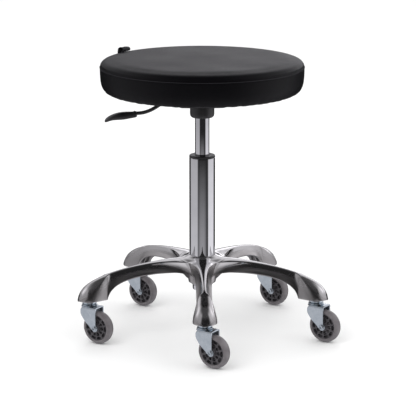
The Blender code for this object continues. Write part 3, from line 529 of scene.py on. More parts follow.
def sewing_thread(w):
    """Bonded black thread, with the slant of its twist."""
    twist = w.node("TexWave", {"bands_direction": "DIAGONAL"}, {"Vector": w.place(), "Scale": 900.0})
    return {
        "Base_Color": twist.between((0.012, 0.011, 0.014), (0.050, 0.048, 0.058)),
        "Roughness": 0.42 + 0.2 * twist,
        "Normal": twist.bumps(0.00006, 0.6),
    }


ALUMINIUM = finish("polished aluminium", cast_and_polished, Metallic=1.0)
CHROME = finish("bright chrome", bright_plate, Metallic=1.0)
ZINC = finish("clouded zinc", clouded_zinc, Metallic=1.0)
STEEL = finish("turned steel", turned_steel, Metallic=1.0)
VINYL = finish("black vinyl", leather_grain, Specular_IOR_Level=0.15)
PLASTIC = finish("black moulded plastic", spark_eroded)
POWDER = finish("black powder coat", powder_coat)
TYRE = finish("grey urethane", soft_tyre, Coat_Weight=0.15, Coat_Roughness=0.25)
CORE = finish("grey moulded core", moulded_core)
CLOTH = finish("black lining cloth", felted_cloth, Specular_IOR_Level=0.2)
TAPE = finish("black webbing", woven_tape, Specular_IOR_Level=0.3)
RUBBER = finish("black rubber", black_rubber)
PLY = finish("plywood", layered_ply)
THREAD = finish("black thread", sewing_thread)

BY_SLOT = {
    "polished_aluminium": ALUMINIUM, "chrome": CHROME, "zinc": ZINC, "steel": STEEL,
    "black_steel": POWDER, "black_plastic": PLASTIC, "black_vinyl": VINYL, "foam": RUBBER,
    "plywood": PLY, "black_cloth": CLOTH, "grey_tyre": TYRE, "grey_core": CORE, "rubber": RUBBER,
}


def dress_frame():
    """Every node of the frame takes the detailed finish of its own slot."""
    for node in NODES.values():
        for place in node.material_slots:
            name = place.material.name.split(".")[0] if place.material else ""
            place.material = BY_SLOT.get(name, STEEL)


# ---------------------------------------------------------------- star base
def crest_line():
    """The arm's highest line as (radius, height over the feet): level, then drooping to the tip."""
    first = bezier([(ROOT, 68.5), (ROOT + 44, 69.5), (110, 66.3), (150, 59.3)], 300)
    return np.vstack([first, bezier([(150, 59.3), (190, 52.3), (250.2, 38.3), (STEM + FOOT_R, 0)], 300)[1:]])


def arm_rows():
    """(radius, crest height) of the casting's rows, closer where it bends and where the foot starts."""
    line = crest_line()
    near = np.concatenate([np.linspace(ROOT, VALLEY, 13), np.linspace(VALLEY, 62, 13)[1:]])
    outer = line[line[:, 0] > 62]
    far = np.append(0, np.cumsum(np.hypot(*np.diff(outer, axis=0).T)))
    nail = np.interp(np.arange(194, 205, 0.8), outer[:, 0], far)
    at = far[-1] * (1 - (1 - np.linspace(0, 1, 84)) ** 1.15)
    at = np.sort(np.append(at[(at < nail[0] - 0.5) | (at > nail[-1] + 0.5)], nail))
    x, z = (np.interp(at, far, outer[:, i]) for i in (0, 1))
    return np.append(near, x), np.append(np.interp(near, *line.T), z)


def casting_grids():
    """One fifth of the casting's skin, about +X. Across a row the top runs from crease to crease as
    crest height less a droop that grows to both sides; inside the valley radius a row is an arc that
    ends on the rays halfway to the next arms. Past it a rounded crease leads to a hollow flank that
    ends at the arm's lower edge. Returns the grids and, for each point, how far it takes a rougher
    brush finish and a colour painted darker as shade and reflection."""
    x, crest = arm_rows()
    round_foot = np.sqrt(np.clip(1 - ((x - STEM) / FOOT_R) ** 2, 0, 1)) * FOOT_R
    width = flowing([(95, 15.5), (137, 15), (173, 14.8), (193, 15.0), (203, 16.8), (214, 20.0), (222, 22.0),
                     (STEM, FOOT_R), (236, FOOT_R)], x)
    width = np.where(x > STEM, round_foot, width)
    crease = flowing([
        (VALLEY, VALLEY * math.sin(FIFTH)), (50, 23.4), (56, 19.8), (64, 16.4), (75, 12.6), (85, 10.2),
        (102, 7.75), (140, 5), (172, 3.7), (186, 3.6), (191, 4.6), (195, 6.6), (198, 8.6), (201, 10.6),
        (206, 13.2), (212, 15.4), (218, 17.2), (226, 19.1), (236, 20.4),
    ], x)
    crease = np.where(x > 180, np.minimum(crease, 0.94 * width), crease)
    lag = flowing([
        (VALLEY, VALLEY * (1 - math.cos(FIFTH))), (50, 6.9), (56, 4.2), (64, 1.8), (76, 0.3), (86, 0),
    ], x)
    crease = np.where(x <= VALLEY, x * math.sin(FIFTH), crease)
    lag = np.where(x <= VALLEY, x * (1 - math.cos(FIFTH)), lag)
    share = flowing([
        (26, 0), (36, 0.015), (47, 0.060), (60, 0.044), (85, 0.022), (140, 0.016), (172, 0.016), (190, 0.018),
        (197, 0.03), (203, 0.09), (212, 0.20), (222, 0.35), (229.5, 0.47), (241, 0.62), (252.4, 0.72),
    ], x)
    rise = 4.5 * np.exp(-(x - ROOT) / 6.5) - 0.8 * smoothstep(x, 195, 203) * (1 - smoothstep(x, 204, 238))
    fillet = 1.5 * smoothstep(x, VALLEY, VALLEY + 6) * np.clip(width / 8, 0, 1)
    hub = (1 - smoothstep(x, 38, 62))[:, None]

    def top_at(v):
        """Points of the rows at share v of the way from crest to crease."""
        swing = FIFTH * v
        back = lag[:, None] * (1 - np.cos(swing)) / (1 - math.cos(FIFTH))
        droop = hub * (1 - np.cos(math.pi * v)) / 2 + (1 - hub) * np.abs(v) ** 2.3
        return np.stack([
            x[:, None] - back,
            crease[:, None] * np.sin(swing) / math.sin(FIFTH),
            (crest + rise)[:, None] - (crest * share)[:, None] * droop,
        ], -1)

    edge = (1 - fillet / np.maximum(crease, 1e-6))[:, None]
    top = top_at(edge * np.linspace(-1, 1, 23)[None])

    past = x >= VALLEY - 1e-6
    at_crease = top_at(np.ones((len(x), 1)))[past, 0]
    xp = x[past]
    rim_out = flowing([(VALLEY, 24.6), (52, 33), (60, 46), (72, 66), (84, 83.5), (95, 95)], xp)
    rim_wide = flowing([(VALLEY, 17.9), (52, 20.4), (60, 19.6), (72, 17.4), (84, 16), (95, 15.5)], xp)
    rim = np.stack([
        np.where(xp < 95, rim_out, xp),
        np.where(xp < 95, rim_wide, width[past]),
        flowing([(VALLEY, 31.5), (52, 37.5), (60, 42.3), (72, 45.3), (95, 46), (127, 44.2), (155, 39.1),
                 (176, 31), (189, 20.5), (193.5, 14), (196, 8.0), (198, 2.4), (253, 1.8)], xp),
    ], -1)
    rim[:, 2] = np.minimum(rim[:, 2], np.maximum(at_crease[:, 2] - 0.02, 0))
    down = rim - at_crease
    long = np.linalg.norm(down, axis=1, keepdims=True) + 1e-6
    out = np.stack([0 * xp, -down[:, 2], down[:, 1]], -1) / (np.hypot(down[:, 1], down[:, 2]) + 1e-6)[:, None]
    sag = flowing([
        (VALLEY, 0.3), (60, 2.0), (85, 2.6), (140, 2.4), (172, 1.6), (190, 0.4), (200, -0.5), (212, -0.8),
        (229, -0.8), (246, -0.5), (252.4, 0),
    ], xp)

    def flank_at(t):
        t = t[..., None]
        return at_crease[:, None] + t * down[:, None] - 4 * (t * (1 - t) * sag[:, None, None]) * out[:, None]

    first = np.clip(fillet[past][:, None] / long, 0, 0.45)
    steps = np.linspace(0, 1, 12)
    flank = flank_at(first + (1 - first) * steps[None])
    s = np.linspace(0, 1, 5)[None, :, None]
    start, turn = top[past][:, -1:], at_crease[:, None]
    curve = (1 - s) ** 2 * start + 2 * s * (1 - s) * turn + s**2 * flank[:, :1]
    side = np.concatenate([curve, flank[:, 1:]], 1)
    other = (side * np.array([1, -1, 1]))[:, ::-1]
    share_down = np.concatenate([np.zeros(5), steps[1:]])[None]
    # the lower part of each flank, and the whole foot, get a rougher brush finish and a grey painted darker:
    # painted shade and painted reflection
    matt_and_shade = smoothstep(share_down, 0.16, 0.55) * np.ones((len(xp), 1))
    foot = smoothstep(xp, 150, 240)[:, None]
    rough = matt_and_shade * (1 - foot) + 0.9 * foot
    grids = [g + np.array([0, 0, FOOT]) for g in (top, side, other)]
    # the foot's cap is also painted a darker grey, more so towards its sides: a painted reflection of the
    # dark band over it, with a rougher finish
    cap = smoothstep(x, 196, 200)[:, None] * (0.36 + 0.2 * np.linspace(-1, 1, top.shape[1]) ** 4)
    return grids, [cap, rough, rough[:, ::-1]]


def arm_angle(k):
    return -math.pi / 2 + k * TAU / ARMS


def star_base():
    """The casting, the boss under its hub, and a rib and a stem socket inside each arm."""
    grids, brushed = casting_grids()
    turns = [arm_angle(k) for k in range(ARMS)]
    skin = [placed(g, heading=a) for a in turns for g in grids]
    piece("star_casting", skin, ALUMINIUM, "base", "polished_aluminium", "star_base",
          wall=2.8, bevel=0.35, values=brushed * ARMS)

    boss = eased([
        (COLUMN_R + 0.35, HUB_TOP - 0.1), (COLUMN_R + 1.6, HUB_TOP - 0.6), (COLUMN_R + 3.4, HUB_TOP - 7),
        (COLUMN_R + 3.6, HUB_LOW + 19), (COLUMN_R + 2.2, HUB_LOW + 4), (COLUMN_R + 1.4, HUB_LOW),
        (COLUMN_R - 1.05, HUB_LOW),
    ], 0.7)
    ring = turned(boss, 120)
    # below the hub the boss is rougher and a darker grey
    piece("hub_boss", [ring], ALUMINIUM, "base", "polished_aluminium",
          values=[0.9 * (ring[..., 2] < HUB_TOP - 12)])

    socket = eased([(5.9, FOOT), (10.4, FOOT), (10.4, FOOT + 19), (5.9, FOOT + 19)], 0.5)
    x = np.linspace(COLUMN_R + 2.6, STEM - 10, 40)
    rim = flowing([(28, 24), (45, 40), (70, 50), (110, 49), (155, 42), (189, 24), (200, 8), (222, 5)], x)
    roof = np.interp(x, *crest_line().T) - 2.2
    half = np.full_like(x, 1.15)
    corners = [(half, roof), (-half, roof), (-half * 0.8, rim), (half * 0.8, rim), (half, roof)]
    rib = capped(np.stack([np.stack([x, y, z + FOOT], -1) for y, z in corners], 1))
    inner = []
    for a in turns:
        spot = (STEM * math.cos(a), STEM * math.sin(a), 0)
        inner += [placed(rib, heading=a), placed(turned(socket, 40), spot)]
    # the ribs and sockets inside the arms are rougher and a darker grey
    piece("casting_ribs", inner, ALUMINIUM, "base", "polished_aluminium",
          values=[np.full(grid.shape[:2], 0.9) for grid in inner])


# ---------------------------------------------------------------- column and lift
def column():
    """The column with its bush, and the gas lift's tube, rod and clip, each a profile turned."""
    lower, neck = COLUMN_R - 1.4, COLUMN_R - 6
    tube = eased([
        (COLUMN_R, COLUMN_TOP), (COLUMN_R, COLUMN_TOP - 1.5), (COLUMN_R, HUB_TOP + 2),
        (COLUMN_R, HUB_TOP + 1), (lower, HUB_LOW), (lower - 1, HUB_LOW - 2),
        (neck, HUB_LOW - 5.5), (neck - 0.5, COLUMN_LOW), (5.3, COLUMN_LOW), (5.3, COLUMN_LOW + 3),
        (neck - 1.6, COLUMN_LOW + 3), (neck - 1.6, HUB_LOW - 3.5), (lower - 1.6, HUB_LOW + 1),
        (COLUMN_R - 1.6, HUB_TOP + 1), (COLUMN_R - 1.6, COLUMN_TOP),
    ], [0.5, 0, 0, 0.2, 0.8, 1.2, 1.2, 1.2, 0.4, 0.2, 0.2, 0.5, 0.5, 0.2, 0.4])
    piece("column_skin", [turned(tube, 128)], CHROME, "base", "chrome", "column_tube")

    low, high = levels("column_bush")
    sleeve, bore = COLUMN_R - 1.9, TUBE_R + 0.3
    bush = eased([
        (bore + 0.4, high), (COLUMN_R - 1.0, high), (COLUMN_R, high - 1.4), (COLUMN_R, COLUMN_TOP + 0.3),
        (sleeve, COLUMN_TOP + 0.3), (sleeve, low), (bore, low), (bore, high - 1.5),
    ], [0.5, 1.0, 0.8, 0.3, 0.1, 0.5, 0.4, 0.8])
    piece("column_cap", [turned(bush, 112)], PLASTIC, "base", "black_plastic", "column_bush")

    low, high = levels("pressure_tube")
    tube = eased([
        (TUBE_R - 1.2, high), (TUBE_R - 0.6, high - 1.2), (TUBE_R, high - 26), (TUBE_R, low + 1),
        (TUBE_R - 0.8, low), (TUBE_R - 1.5, low), (TUBE_R - 1.5, high - 30), (2.9, high - 30), (2.9, high),
    ], 0.3)
    piece("lift_tube", [turned(tube, 96)], CHROME, "seat", "chrome", "pressure_tube")

    low, high = levels("piston_rod")
    groove = levels("rod_clip")[0] - 0.3
    rod = eased([(0, high), (5, high), (5, groove + 1.8), (3.8, groove + 1.8), (3.8, groove), (5, groove),
                 (5, low + 1), (4, low), (0, low)], 0.3, closed=False)
    piece("lift_rod", [turned(rod, 48)], STEEL, "lift_rod", "steel", "piston_rod")
    low, high = levels("rod_clip")
    clip = eased([(4.1, low), (9.5, low), (9.5, high), (4.1, high)], 0.3)
    piece("rod_circlip", [turned(clip, 48)], STEEL, "lift_rod", "steel", "rod_clip")


# ---------------------------------------------------------------- under the seat
def ray_rings(rings, angles):
    """Rings of points about the axis, each (half x, half y, power, height): at an angle the point
    lies where (cos / half x)^power + (sin / half y)^power times the radius to the power is one."""
    a = np.asarray(angles)[None]
    hx, hy, power, z = (np.array(v, float)[:, None] for v in zip(*rings))
    c, s = np.cos(a), np.sin(a)
    r = ((np.abs(c) / hx) ** power + (np.abs(s) / hy) ** power) ** (-1 / power)
    return np.stack([r * c, r * s, np.broadcast_to(z, r.shape)], -1)


def underside():
    """What holds the seat: the tapered socket and its collar, the pressed bracket, bolts and pin."""
    low, high = levels("bracket_socket")
    socket = eased([(17, high), (17, low), (TUBE_R + 0.3, low), (TUBE_R - 0.2, high)], 0.5)
    piece("tube_socket", [turned(socket, 80)], POWDER, "seat", "black_steel", "bracket_socket")

    low, high = levels("socket_collar")
    r = extent("socket_collar")[1][0]
    collar = eased([
        (r - 0.6, high), (r, high - 1.2), (r, low + 6.5), (r - 0.9, low + 2.6), (r - 3.6, low),
        (TUBE_R + 0.3, low), (TUBE_R + 0.3, low + 2.2), (17.3, low + 2.2), (17.3, high),
    ], [0.6, 0.8, 2.5, 2.0, 1.6, 0.4, 0.2, 0.2, 0.4])
    piece("collar_ring", [turned(collar, 112)], PLASTIC, "seat", "black_plastic", "socket_collar")

    floor, plate = levels("seat_bracket")
    around = 144
    step = TAU / around
    under = plate - 2.5
    rings = [(17.4, 17.4, 2, floor), (22, 21, 2.4, floor), (32, 25, 4, floor), (41, 27, 9, floor),
             (43.6, 28.7, 10, floor + 0.4), (44.7, 29.7, 10, floor + 1.6), (45, 30, 10, floor + 3.4),
             (45, 30, 10, floor + 6), (45, 30, 10, floor + 14), (45, 30, 10, under - 1.4),
             (45.6, 30.6, 10, under - 0.4), (47.2, 32.2, 10, under), (56, 50, 12, under),
             (69.4, 69.4, 14, under), (70, 70, 14, under)]
    i, j = np.arange(len(rings) - 1)[:, None], np.arange(around)[None]
    slot = (np.abs((j + 0.5) * step - math.pi) < 3.1 * step) & (i >= 7) & (i <= 8)  # for the lever
    pan = ray_rings(rings, np.linspace(0, TAU, around + 1))
    piece("bracket_pan", [pan], POWDER, "seat", "black_steel", "seat_bracket", wall=-2.45, bevel=0.4,
          keep=[~slot], recalculate=False)

    for k in range(1, 5):
        node = f"bracket_bolt_{k}"
        centre = np.mean(extent(node), axis=0)
        low, high = levels(node)
        head = eased([(0, low + 0.4), (3.6, low), (5.4, low), (6.6, low + 1.0), (6.6, low + 3.4),
                      (0, low + 3.4)], 0.25, closed=False)
        washer = eased([(3.2, low + 3.4), (7.6, low + 3.4), (7.6, low + 4.2), (3.2, low + 4.2)], 0.25)
        shank = eased([(0, low + 3.3), (3, low + 3.3), (3, high - 0.5), (2.5, high), (0, high)],
                      0.2, closed=False)
        spot = (centre[0], centre[1], 0)
        grids = [placed(turned(head, 48, hexagon=HEX), spot, heading=0.4 * k),
                 placed(turned(washer, 48), spot), placed(turned(shank, 32), spot)]
        piece(f"plate_bolt_{k}", grids, ZINC, "seat", "zinc", node, sharp=30)

    low, high = extent("lever_pivot_pin")
    centre = (low + high) / 2
    half = (high[1] - low[1]) / 2
    pin = eased([(0, half), (3.0, half), (4.0, half - 0.6), (4.0, half - 1.6), (2.5, half - 1.6),
                 (2.5, -half), (0, -half)], 0.3, closed=False)
    grid = placed(turned(pin, 40), centre, tip=True)
    piece("pivot_rivet", [grid], STEEL, "seat", "steel", "lever_pivot_pin")


# ---------------------------------------------------------------- lever
def lever():
    """The bent bar with its pivot block, and the moulded paddle: rows of rounded sections whose upper
    line, lower line and width flow along its length."""
    low, high = extent("lever_rod")
    y = (low[1] + high[1]) / 2
    bar, drop = 3.5, 31.5
    top = high[2] - 4.6
    start = -49.0
    bend = bezier([(start, top - 1), (start - 30, top - 6), (start - 40, top - drop),
                   (start - 76, top - drop - 1)], 40)
    path = np.vstack([[(2, top), (-20, top), (-40, top - 0.3)], bend, [bend[-1] - (18, 1.0)]])
    path = np.stack([path[:, 0], np.full(len(path), y), path[:, 1]], -1)
    pivot_x, pivot_z = -34.0, high[2] - 4.6 - 9.5
    z = np.linspace(pivot_z - 5.0, top + 3.4, 14)
    soft = 5.4 * np.clip(1 - (np.abs(np.linspace(-1, 1, 14)) ** 8) * 0.25, 0, 1)
    block = swept(np.stack([np.full(14, pivot_x), np.full(14, y), z], -1), soft, soft, 32, 6.0)
    grids = [swept(path, bar, bar, 28), block]
    piece("lever_bar", grids, POWDER, "lever", "black_steel", "lever_rod", sharp=50)

    low, high = extent("lever_grip")
    root = high[0]
    x = root - np.array([0, 0.6, 2.2, 5.0, 6.0, 6.8, 8.5, 14, 22, 30, 38, 46, 52, 57, 60, 61.4, 62.0])
    along = root - x
    upper = flowing([(0, 436.0), (2.2, 438.2), (5, 438.9), (6.4, 438.0), (7.6, 437.1), (22, 437.0),
                     (34, 435.8), (46, 432.2), (54, 428.4), (58.5, 425.4), (62, 421.0)], along)
    under = flowing([(0, 427.4), (2.2, 426.2), (5, 425.6), (6.4, 425.4), (14, 424.2), (28, 421.8),
                     (36, 421.6), (46, 421.2), (54, 419.0), (59, 417.0), (62, 417.4)], along)
    wide = flowing([(0, 5.6), (2.2, 7.6), (5, 8.6), (6.4, 8.0), (9, 8.6), (20, 11.4), (32, 13.0), (44, 13.0),
                    (53, 12.0), (59, 9.8), (61.4, 7.0), (62, 4.6)], along)
    shift = high[2] - 438.9
    middle = np.stack([x, np.full(len(x), y), (upper + under) / 2 + shift], -1)
    a = np.linspace(0, TAU, 41)[None]
    c, s = np.cos(a), np.sin(a)
    reach = (np.abs(c) ** 2.6 + np.abs(s) ** 2.6) ** (-1 / 2.6)
    half = ((upper - under) / 2)[:, None]
    shoulder = np.where(s > 0, 1 - 0.30 * np.abs(c) ** 3, 1.0)
    grid = np.stack([
        np.broadcast_to(middle[:, :1], (len(x), 41)), y + wide[:, None] * reach * c,
        middle[:, 2:] + half * reach * s * shoulder,
    ], -1)
    piece("lever_paddle", [capped(grid)], PLASTIC, "lever", "black_plastic", "lever_grip", level=2, sharp=60)


# ---------------------------------------------------------------- casters
def fork_grid():
    """The pressed fork as one sheet: a path that runs up one cheek, round a bend, over the crown and
    down the other, by a share of the way from the sheet's back edge to its front edge."""
    half, bend, axle = 13.5, 3.4, WHEEL_R
    boss = 6.7
    z = np.concatenate([
        axle - boss * np.cos(np.linspace(0, 1, 10) * math.radians(62)),
        np.linspace(axle - 2.4, axle + 6.1, 9), np.linspace(axle + 7.5, CROWN - bend, 16),
    ])
    a = np.linspace(0, math.pi / 2, 8)[1:]
    side = np.stack([np.full_like(z, -half), z], -1)
    corner = np.stack([-half + bend - bend * np.cos(a), CROWN - bend + bend * np.sin(a)], -1)
    crown = np.stack([np.linspace(-half + bend, 0, 9)[1:], np.full(8, CROWN)], -1)
    path = np.vstack([side, corner, crown])
    gap = np.clip(boss**2 - (path[:, 1] - axle) ** 2, 0, None) ** 0.5
    front = TRAIL + np.where(path[:, 1] < axle, gap, np.maximum(gap, 2.5))
    far = np.append(0, np.cumsum(np.hypot(*np.diff(path, axis=0).T)))
    far = far[-1] - far
    back = flowing([
        (0, -13.5), (5.3, -13.5), (8.0, -13.1), (10.1, -12.2), (12.4, -9.6), (13.8, -8.9), (15.6, -9.6),
        (19.0, -11.8), (25.0, -12.1), (28.5, -11.2), (34, -7.6), (40.5, -2.6), (51, 9.6), (57.2, 14.9),
    ], far)
    low = path[:, 1] < axle - 3.1
    back = np.where(low, TRAIL - gap, np.minimum(back, TRAIL - np.where(path[:, 1] < axle, gap, 0)))
    q = np.linspace(0, 1, 17)[None]
    x = back[:, None] + (front - back)[:, None] * q
    y, zz = (np.broadcast_to(path[:, i : i + 1], x.shape) for i in (0, 1))
    grid = np.stack([x, y, zz], -1)
    mirrored = (grid * np.array([1, -1, 1]))[::-1]
    return np.concatenate([grid, mirrored[1:]])


def cell_angles(count, around):
    """The angles at which the edges of a pierced ring have points: even steps of a ray that turns
    about each cell's middle, where it crosses the side of the square round it."""
    phi = np.linspace(-TAU / 8, TAU / 8, around // 4 + 1)
    cell = np.tan(phi) * math.pi / count
    every = (TAU * np.arange(count)[:, None] / count + cell[None, :-1]).ravel()
    return np.append(every, every[0] + TAU)


def pierced(inner, outer, sizes, face, count=10, around=24, across=4):
    """A flat ring at height face between two radii, with an opening in each of its cells. A cell runs
    from its opening's oval edge, half sizes (along the radius, round it), to the cell's own square
    edge, along even shares. Returns the faces' grids and each opening's outline."""
    sizes = np.array(sizes, float)[np.arange(count) % len(sizes)]
    k, phi = np.arange(count)[:, None, None], np.linspace(-math.pi, math.pi, around + 1)[None, :, None]
    q = np.linspace(0, 1, across)[None, None]
    c, s = np.cos(phi), np.sin(phi)
    square = 1 / np.maximum(np.abs(c), np.abs(s))
    middle, half = (inner + outer) / 2, (outer - inner) / 2
    oval = (np.abs(c) ** 2.6 + np.abs(s) ** 2.6) ** (-1 / 2.6)
    hole_r = sizes[:, 0, None, None] * c * oval + middle
    hole_a = sizes[:, 1, None, None] * s * oval / middle
    r = hole_r + (middle + half * c * square - hole_r) * q
    a = hole_a + (math.pi / count * s * square - hole_a) * q + TAU * k / count
    z = np.broadcast_to(face - 0.35 * (q == 0), r.shape)
    grid = np.stack([r * np.cos(a), r * np.sin(a), z], -1)
    return list(grid), grid[:, :, 0]


def wheel_core_grids():
    """Hub, two rings of openings and rim as one closed shell, about the wheel's own Z axis."""
    face, hub, mid, rim, bore, half = 7.9, 8.6, 17.0, WHEEL_R - 7.8, 3.3, 10.8
    angles = cell_angles(10, 24)
    grids = []
    for sign in (1, -1):
        inner, holes = pierced(hub, mid, [(3.8, 3.3), (3.3, 2.5)], face)
        outer, pockets = pierced(mid, rim, [(2.85, 5.1)], face)
        flip = np.array([1, 1, sign])
        grids += [g * flip for g in inner + outer]
        deep = pockets * np.array([1, 1, 0]) + np.array([0, 0, 2.6])
        heart = np.broadcast_to(deep[:, :-1].mean(1, keepdims=True), deep.shape)
        grids += [np.stack(pair) * flip for pair in zip(pockets, deep)]
        grids += [np.stack(pair) * flip for pair in zip(deep, heart)]
        grids.append(turned([(hub, face), (hub, half - 0.5), (hub - 0.5, half), (bore, half)], angles) * flip)
        grids.append(turned([(rim, face), (rim, 0)], angles) * flip)
        grids.append(turned([(bore, half), (bore, 0)], angles) * flip)
        grids += [np.stack([h, h * np.array([1, 1, 0])]) * flip for h in holes]
    return grids


def tyre_profile():
    """The tyre's section, one half mirrored, with its corners ever softer towards the tread."""
    r = WHEEL_R
    half = [(r - 7.45, 8.4), (r - 6.2, 8.6), (r - 5.6, 9.5), (r - 4.5, 9.9), (r - 3.0, 8.8), (r - 1.1, 5.6),
            (r - 0.05, 2.4)]
    soft = [0.3, 0.4, 0.5, 0.9, 1.6, 2.6, 3.0]
    return eased(half + [(a, -b) for a, b in half[::-1]], soft + soft[::-1])


def laid(grids, axle):
    """Turned grids laid along a caster's axle."""
    return [placed(g, axle, CASTER_HEADING, tip=True) for g in grids]


def casters():
    """Five casters: stem with its race rings, fork, axle bolt, nut with washer, tyre and core."""
    core, fork = wheel_core_grids(), fork_grid()
    stem = eased([
        (0, FOOT + 20), (4.6, FOOT + 20), (5.5, FOOT + 19), (5.5, FOOT - 0.3), (14, FOOT - 0.3),
        (14, FOOT - 3.6), (11.6, FOOT - 4.4), (11.6, FOOT - 5.0), (15, CROWN + 2.6), (15, CROWN + 1.2),
        (13, CROWN + 0.3), (4, CROWN + 0.3), (4, CROWN - 2.5), (7.5, CROWN - 2.5),
        (6.6, CROWN - 4.6), (4.8, CROWN - 5.4), (0, CROWN - 5.5),
    ], [0, 0.3, 0.4, 0.2, 0.6, 0.9, 0.4, 0.4, 0.7, 0.7, 0.6, 0.2, 0.2, 0.4, 0.8, 1.0, 0], 5, closed=False)
    head = eased([(0, 14.9), (1.9, 14.9), (2.1, 16.5), (3.3, 16.7), (4.5, 15.9), (5.0, 14.5), (5.0, 14.2),
                  (5.9, 14.2), (5.9, 13.6), (3, 13.6), (3, -20.0), (0, -20.0)], 0.25, closed=False)
    nut = eased([(3.2, -18.6), (4.9, -18.6), (5.8, -17.9), (5.8, -14.4), (3.2, -14.4)], 0.2)
    washer = eased([(3.2, -14.5), (6.2, -14.5), (6.2, -13.75), (3.2, -13.75)], 0.2)
    away = np.array([math.cos(CASTER_HEADING), math.sin(CASTER_HEADING), 0]) * TRAIL
    for k in range(ARMS):
        n, a = k + 1, arm_angle(k)
        spot = np.array([STEM * math.cos(a), STEM * math.sin(a), 0])
        axle = spot + away + np.array([0, 0, WHEEL_R])
        caster, wheel = f"caster_{n}", f"wheel_{n}"
        stems = [placed(turned(stem, 64), spot)]
        forks = [placed(fork, spot, CASTER_HEADING)]
        nuts = laid([turned(nut, 60, hexagon=HEX), turned(washer, 48)], axle)
        piece(f"stem_{n}", stems, ZINC, "base", "zinc", f"caster_stem_{n}", sharp=50)
        piece(f"fork_{n}", forks, ZINC, caster, "zinc", f"caster_fork_{n}", wall=2.2, bevel=0.7)
        piece(f"bolt_{n}", laid([turned(head, 48)], axle), ZINC, caster, "zinc", f"axle_bolt_{n}")
        piece(f"nut_{n}", nuts, ZINC, caster, "zinc", f"axle_nut_{n}", sharp=30)
        piece(f"tyre_{n}", laid([turned(tyre_profile(), 112)], axle), TYRE, wheel, "grey_tyre",
              f"wheel_tyre_{n}", sharp=60)
        piece(f"core_{n}", laid(core, axle), CORE, wheel, "grey_core", f"wheel_core_{n}", sharp=35)


# ---------------------------------------------------------------- seat
SEAM_Z = SEAT_TOP - 11.0
PAD_R = SEAT_R + 1.2  # the stretched cover stands a little proud of the solid cushion


def pad_line():
    """The cushion's outline from the middle of its top to the middle of its underside."""
    r, top, low = PAD_R, SEAT_TOP, SEAT_LOW
    crown = [(0, top + 1.2), (60, top + 0.9), (120, top + 0.4), (r - 30, top + 0.1), (r - 17, top - 0.3),
             (r - 9, top - 1.3), (r - 4, top - 3.6), (r - 1.2, top - 7.4), (r - 0.8, SEAM_Z)]
    band = [(r - 0.7, SEAM_Z - 2), (r - 0.2, top - 18), (r - 0.4, top - 28), (r - 1.0, top - 38),
            (r - 2.4, low + 17), (r - 5.2, low + 9.5), (r - 9.8, low + 4.2), (r - 15.5, low + 1.2),
            (r - 22, low + 0.1), (r - 45, low + 0.1)]
    return crown, band, [(r - 45.4, low + 1.2), (r - 60, low + 1.2), (0, low + 1.2)]


def along_line(points, count):
    """Even steps along a smooth line through points, by its length."""
    p = np.array(points, float)
    far = np.append(0, np.cumsum(np.hypot(*np.diff(p, axis=0).T)))
    at = np.linspace(0, far[-1], count)
    return np.stack([flowing(np.stack([far, p[:, i]], -1), at) for i in (0, 1)], -1)


def seat_cushion():
    """The padded seat: its outline turned, swelled as cloth, made finer, and eased into slow folds."""
    crown, band, floor = pad_line()
    near = np.array([(PAD_R - 0.8, SEAM_Z + 0.9), (PAD_R - 1.9, SEAM_Z), (PAD_R - 0.8, SEAM_Z - 0.9)])
    rows = np.vstack([
        along_line(crown[:-1] + [near[0]], 46), near[1:2], along_line([near[2]] + band, 30), np.array(floor),
    ])
    cover = [turned(rows, 128)]
    cushion = piece("seat_cushion", cover, VINYL, "seat", "black_vinyl", ["seat_cover", "seat_foam"])
    swell(cushion)
    fine = cushion.modifiers.new("fine", "SUBSURF")
    fine.levels = fine.render_levels = 1
    settle(cushion, 70)
    ease_folds(cushion)
    stitches()


def swell(obj):
    """Inflates the closed cover against its sewn edges: the seam and everything under the side's foot
    are held, and no point moves more than limit, by the hyperbolic tangent of how far it would go."""
    frames, limit, kept = 20, 0.0014, 0.22
    mesh = obj.data
    count = len(mesh.vertices)
    rest = np.empty(count * 3, np.float32)
    mesh.vertices.foreach_get("co", rest)
    rest = rest.reshape(-1, 3).astype(float)
    z = (rest[:, 2] - AXIS[2]) / MM
    r = np.hypot(*((rest[:, :2] - AXIS[:2]) / MM).T)
    held = (np.abs(z - SEAM_Z) < 1.1) & (r > PAD_R - 4)
    held |= z < SEAT_LOW + 3
    group = obj.vertex_groups.new(name="sewn")
    group.add(np.flatnonzero(held).tolist(), 1.0, "REPLACE")
    cloth = obj.modifiers.new("cloth", "CLOTH")
    cloth.settings.use_pressure = True
    cloth.settings.uniform_pressure_force = 4.0
    cloth.settings.vertex_group_mass = "sewn"
    cloth.settings.effector_weights.gravity = 0
    cloth.settings.quality = 6
    cloth.collision_settings.use_collision = False
    cloth.point_cache.frame_start, cloth.point_cache.frame_end = 1, frames
    scene = bpy.context.scene
    for number in range(1, frames + 1):
        scene.frame_set(number)
    graph = bpy.context.evaluated_depsgraph_get()
    shown = obj.evaluated_get(graph).data
    moved = np.empty(count * 3, np.float32)
    shown.vertices.foreach_get("co", moved)
    obj.modifiers.remove(cloth)
    scene.frame_set(1)
    move = moved.reshape(-1, 3) - rest
    length = np.linalg.norm(move, axis=1, keepdims=True) + 1e-9
    move *= limit * np.tanh(length / limit) / length
    # the pillow's mean swell round each ring, with little of the pleating between
    away = np.stack([*((rest[:, :2] - AXIS[:2]) / MM / (r[:, None] + 1e-6)).T, 0 * r], -1)
    up = np.array([0, 0, 1.0])
    ring = np.unique(np.round(np.stack([r, z], -1), 2), axis=0, return_inverse=True)[1].ravel()
    share = np.bincount(ring)
    outward, lift = (np.bincount(ring, weights=(move * v).sum(1)) / share for v in (away, up))
    mean = outward[ring][:, None] * away + lift[ring][:, None] * up
    move = mean + kept * (move - mean)
    mesh.vertices.foreach_set("co", (rest + move).astype(np.float32).ravel())
    mesh.update()


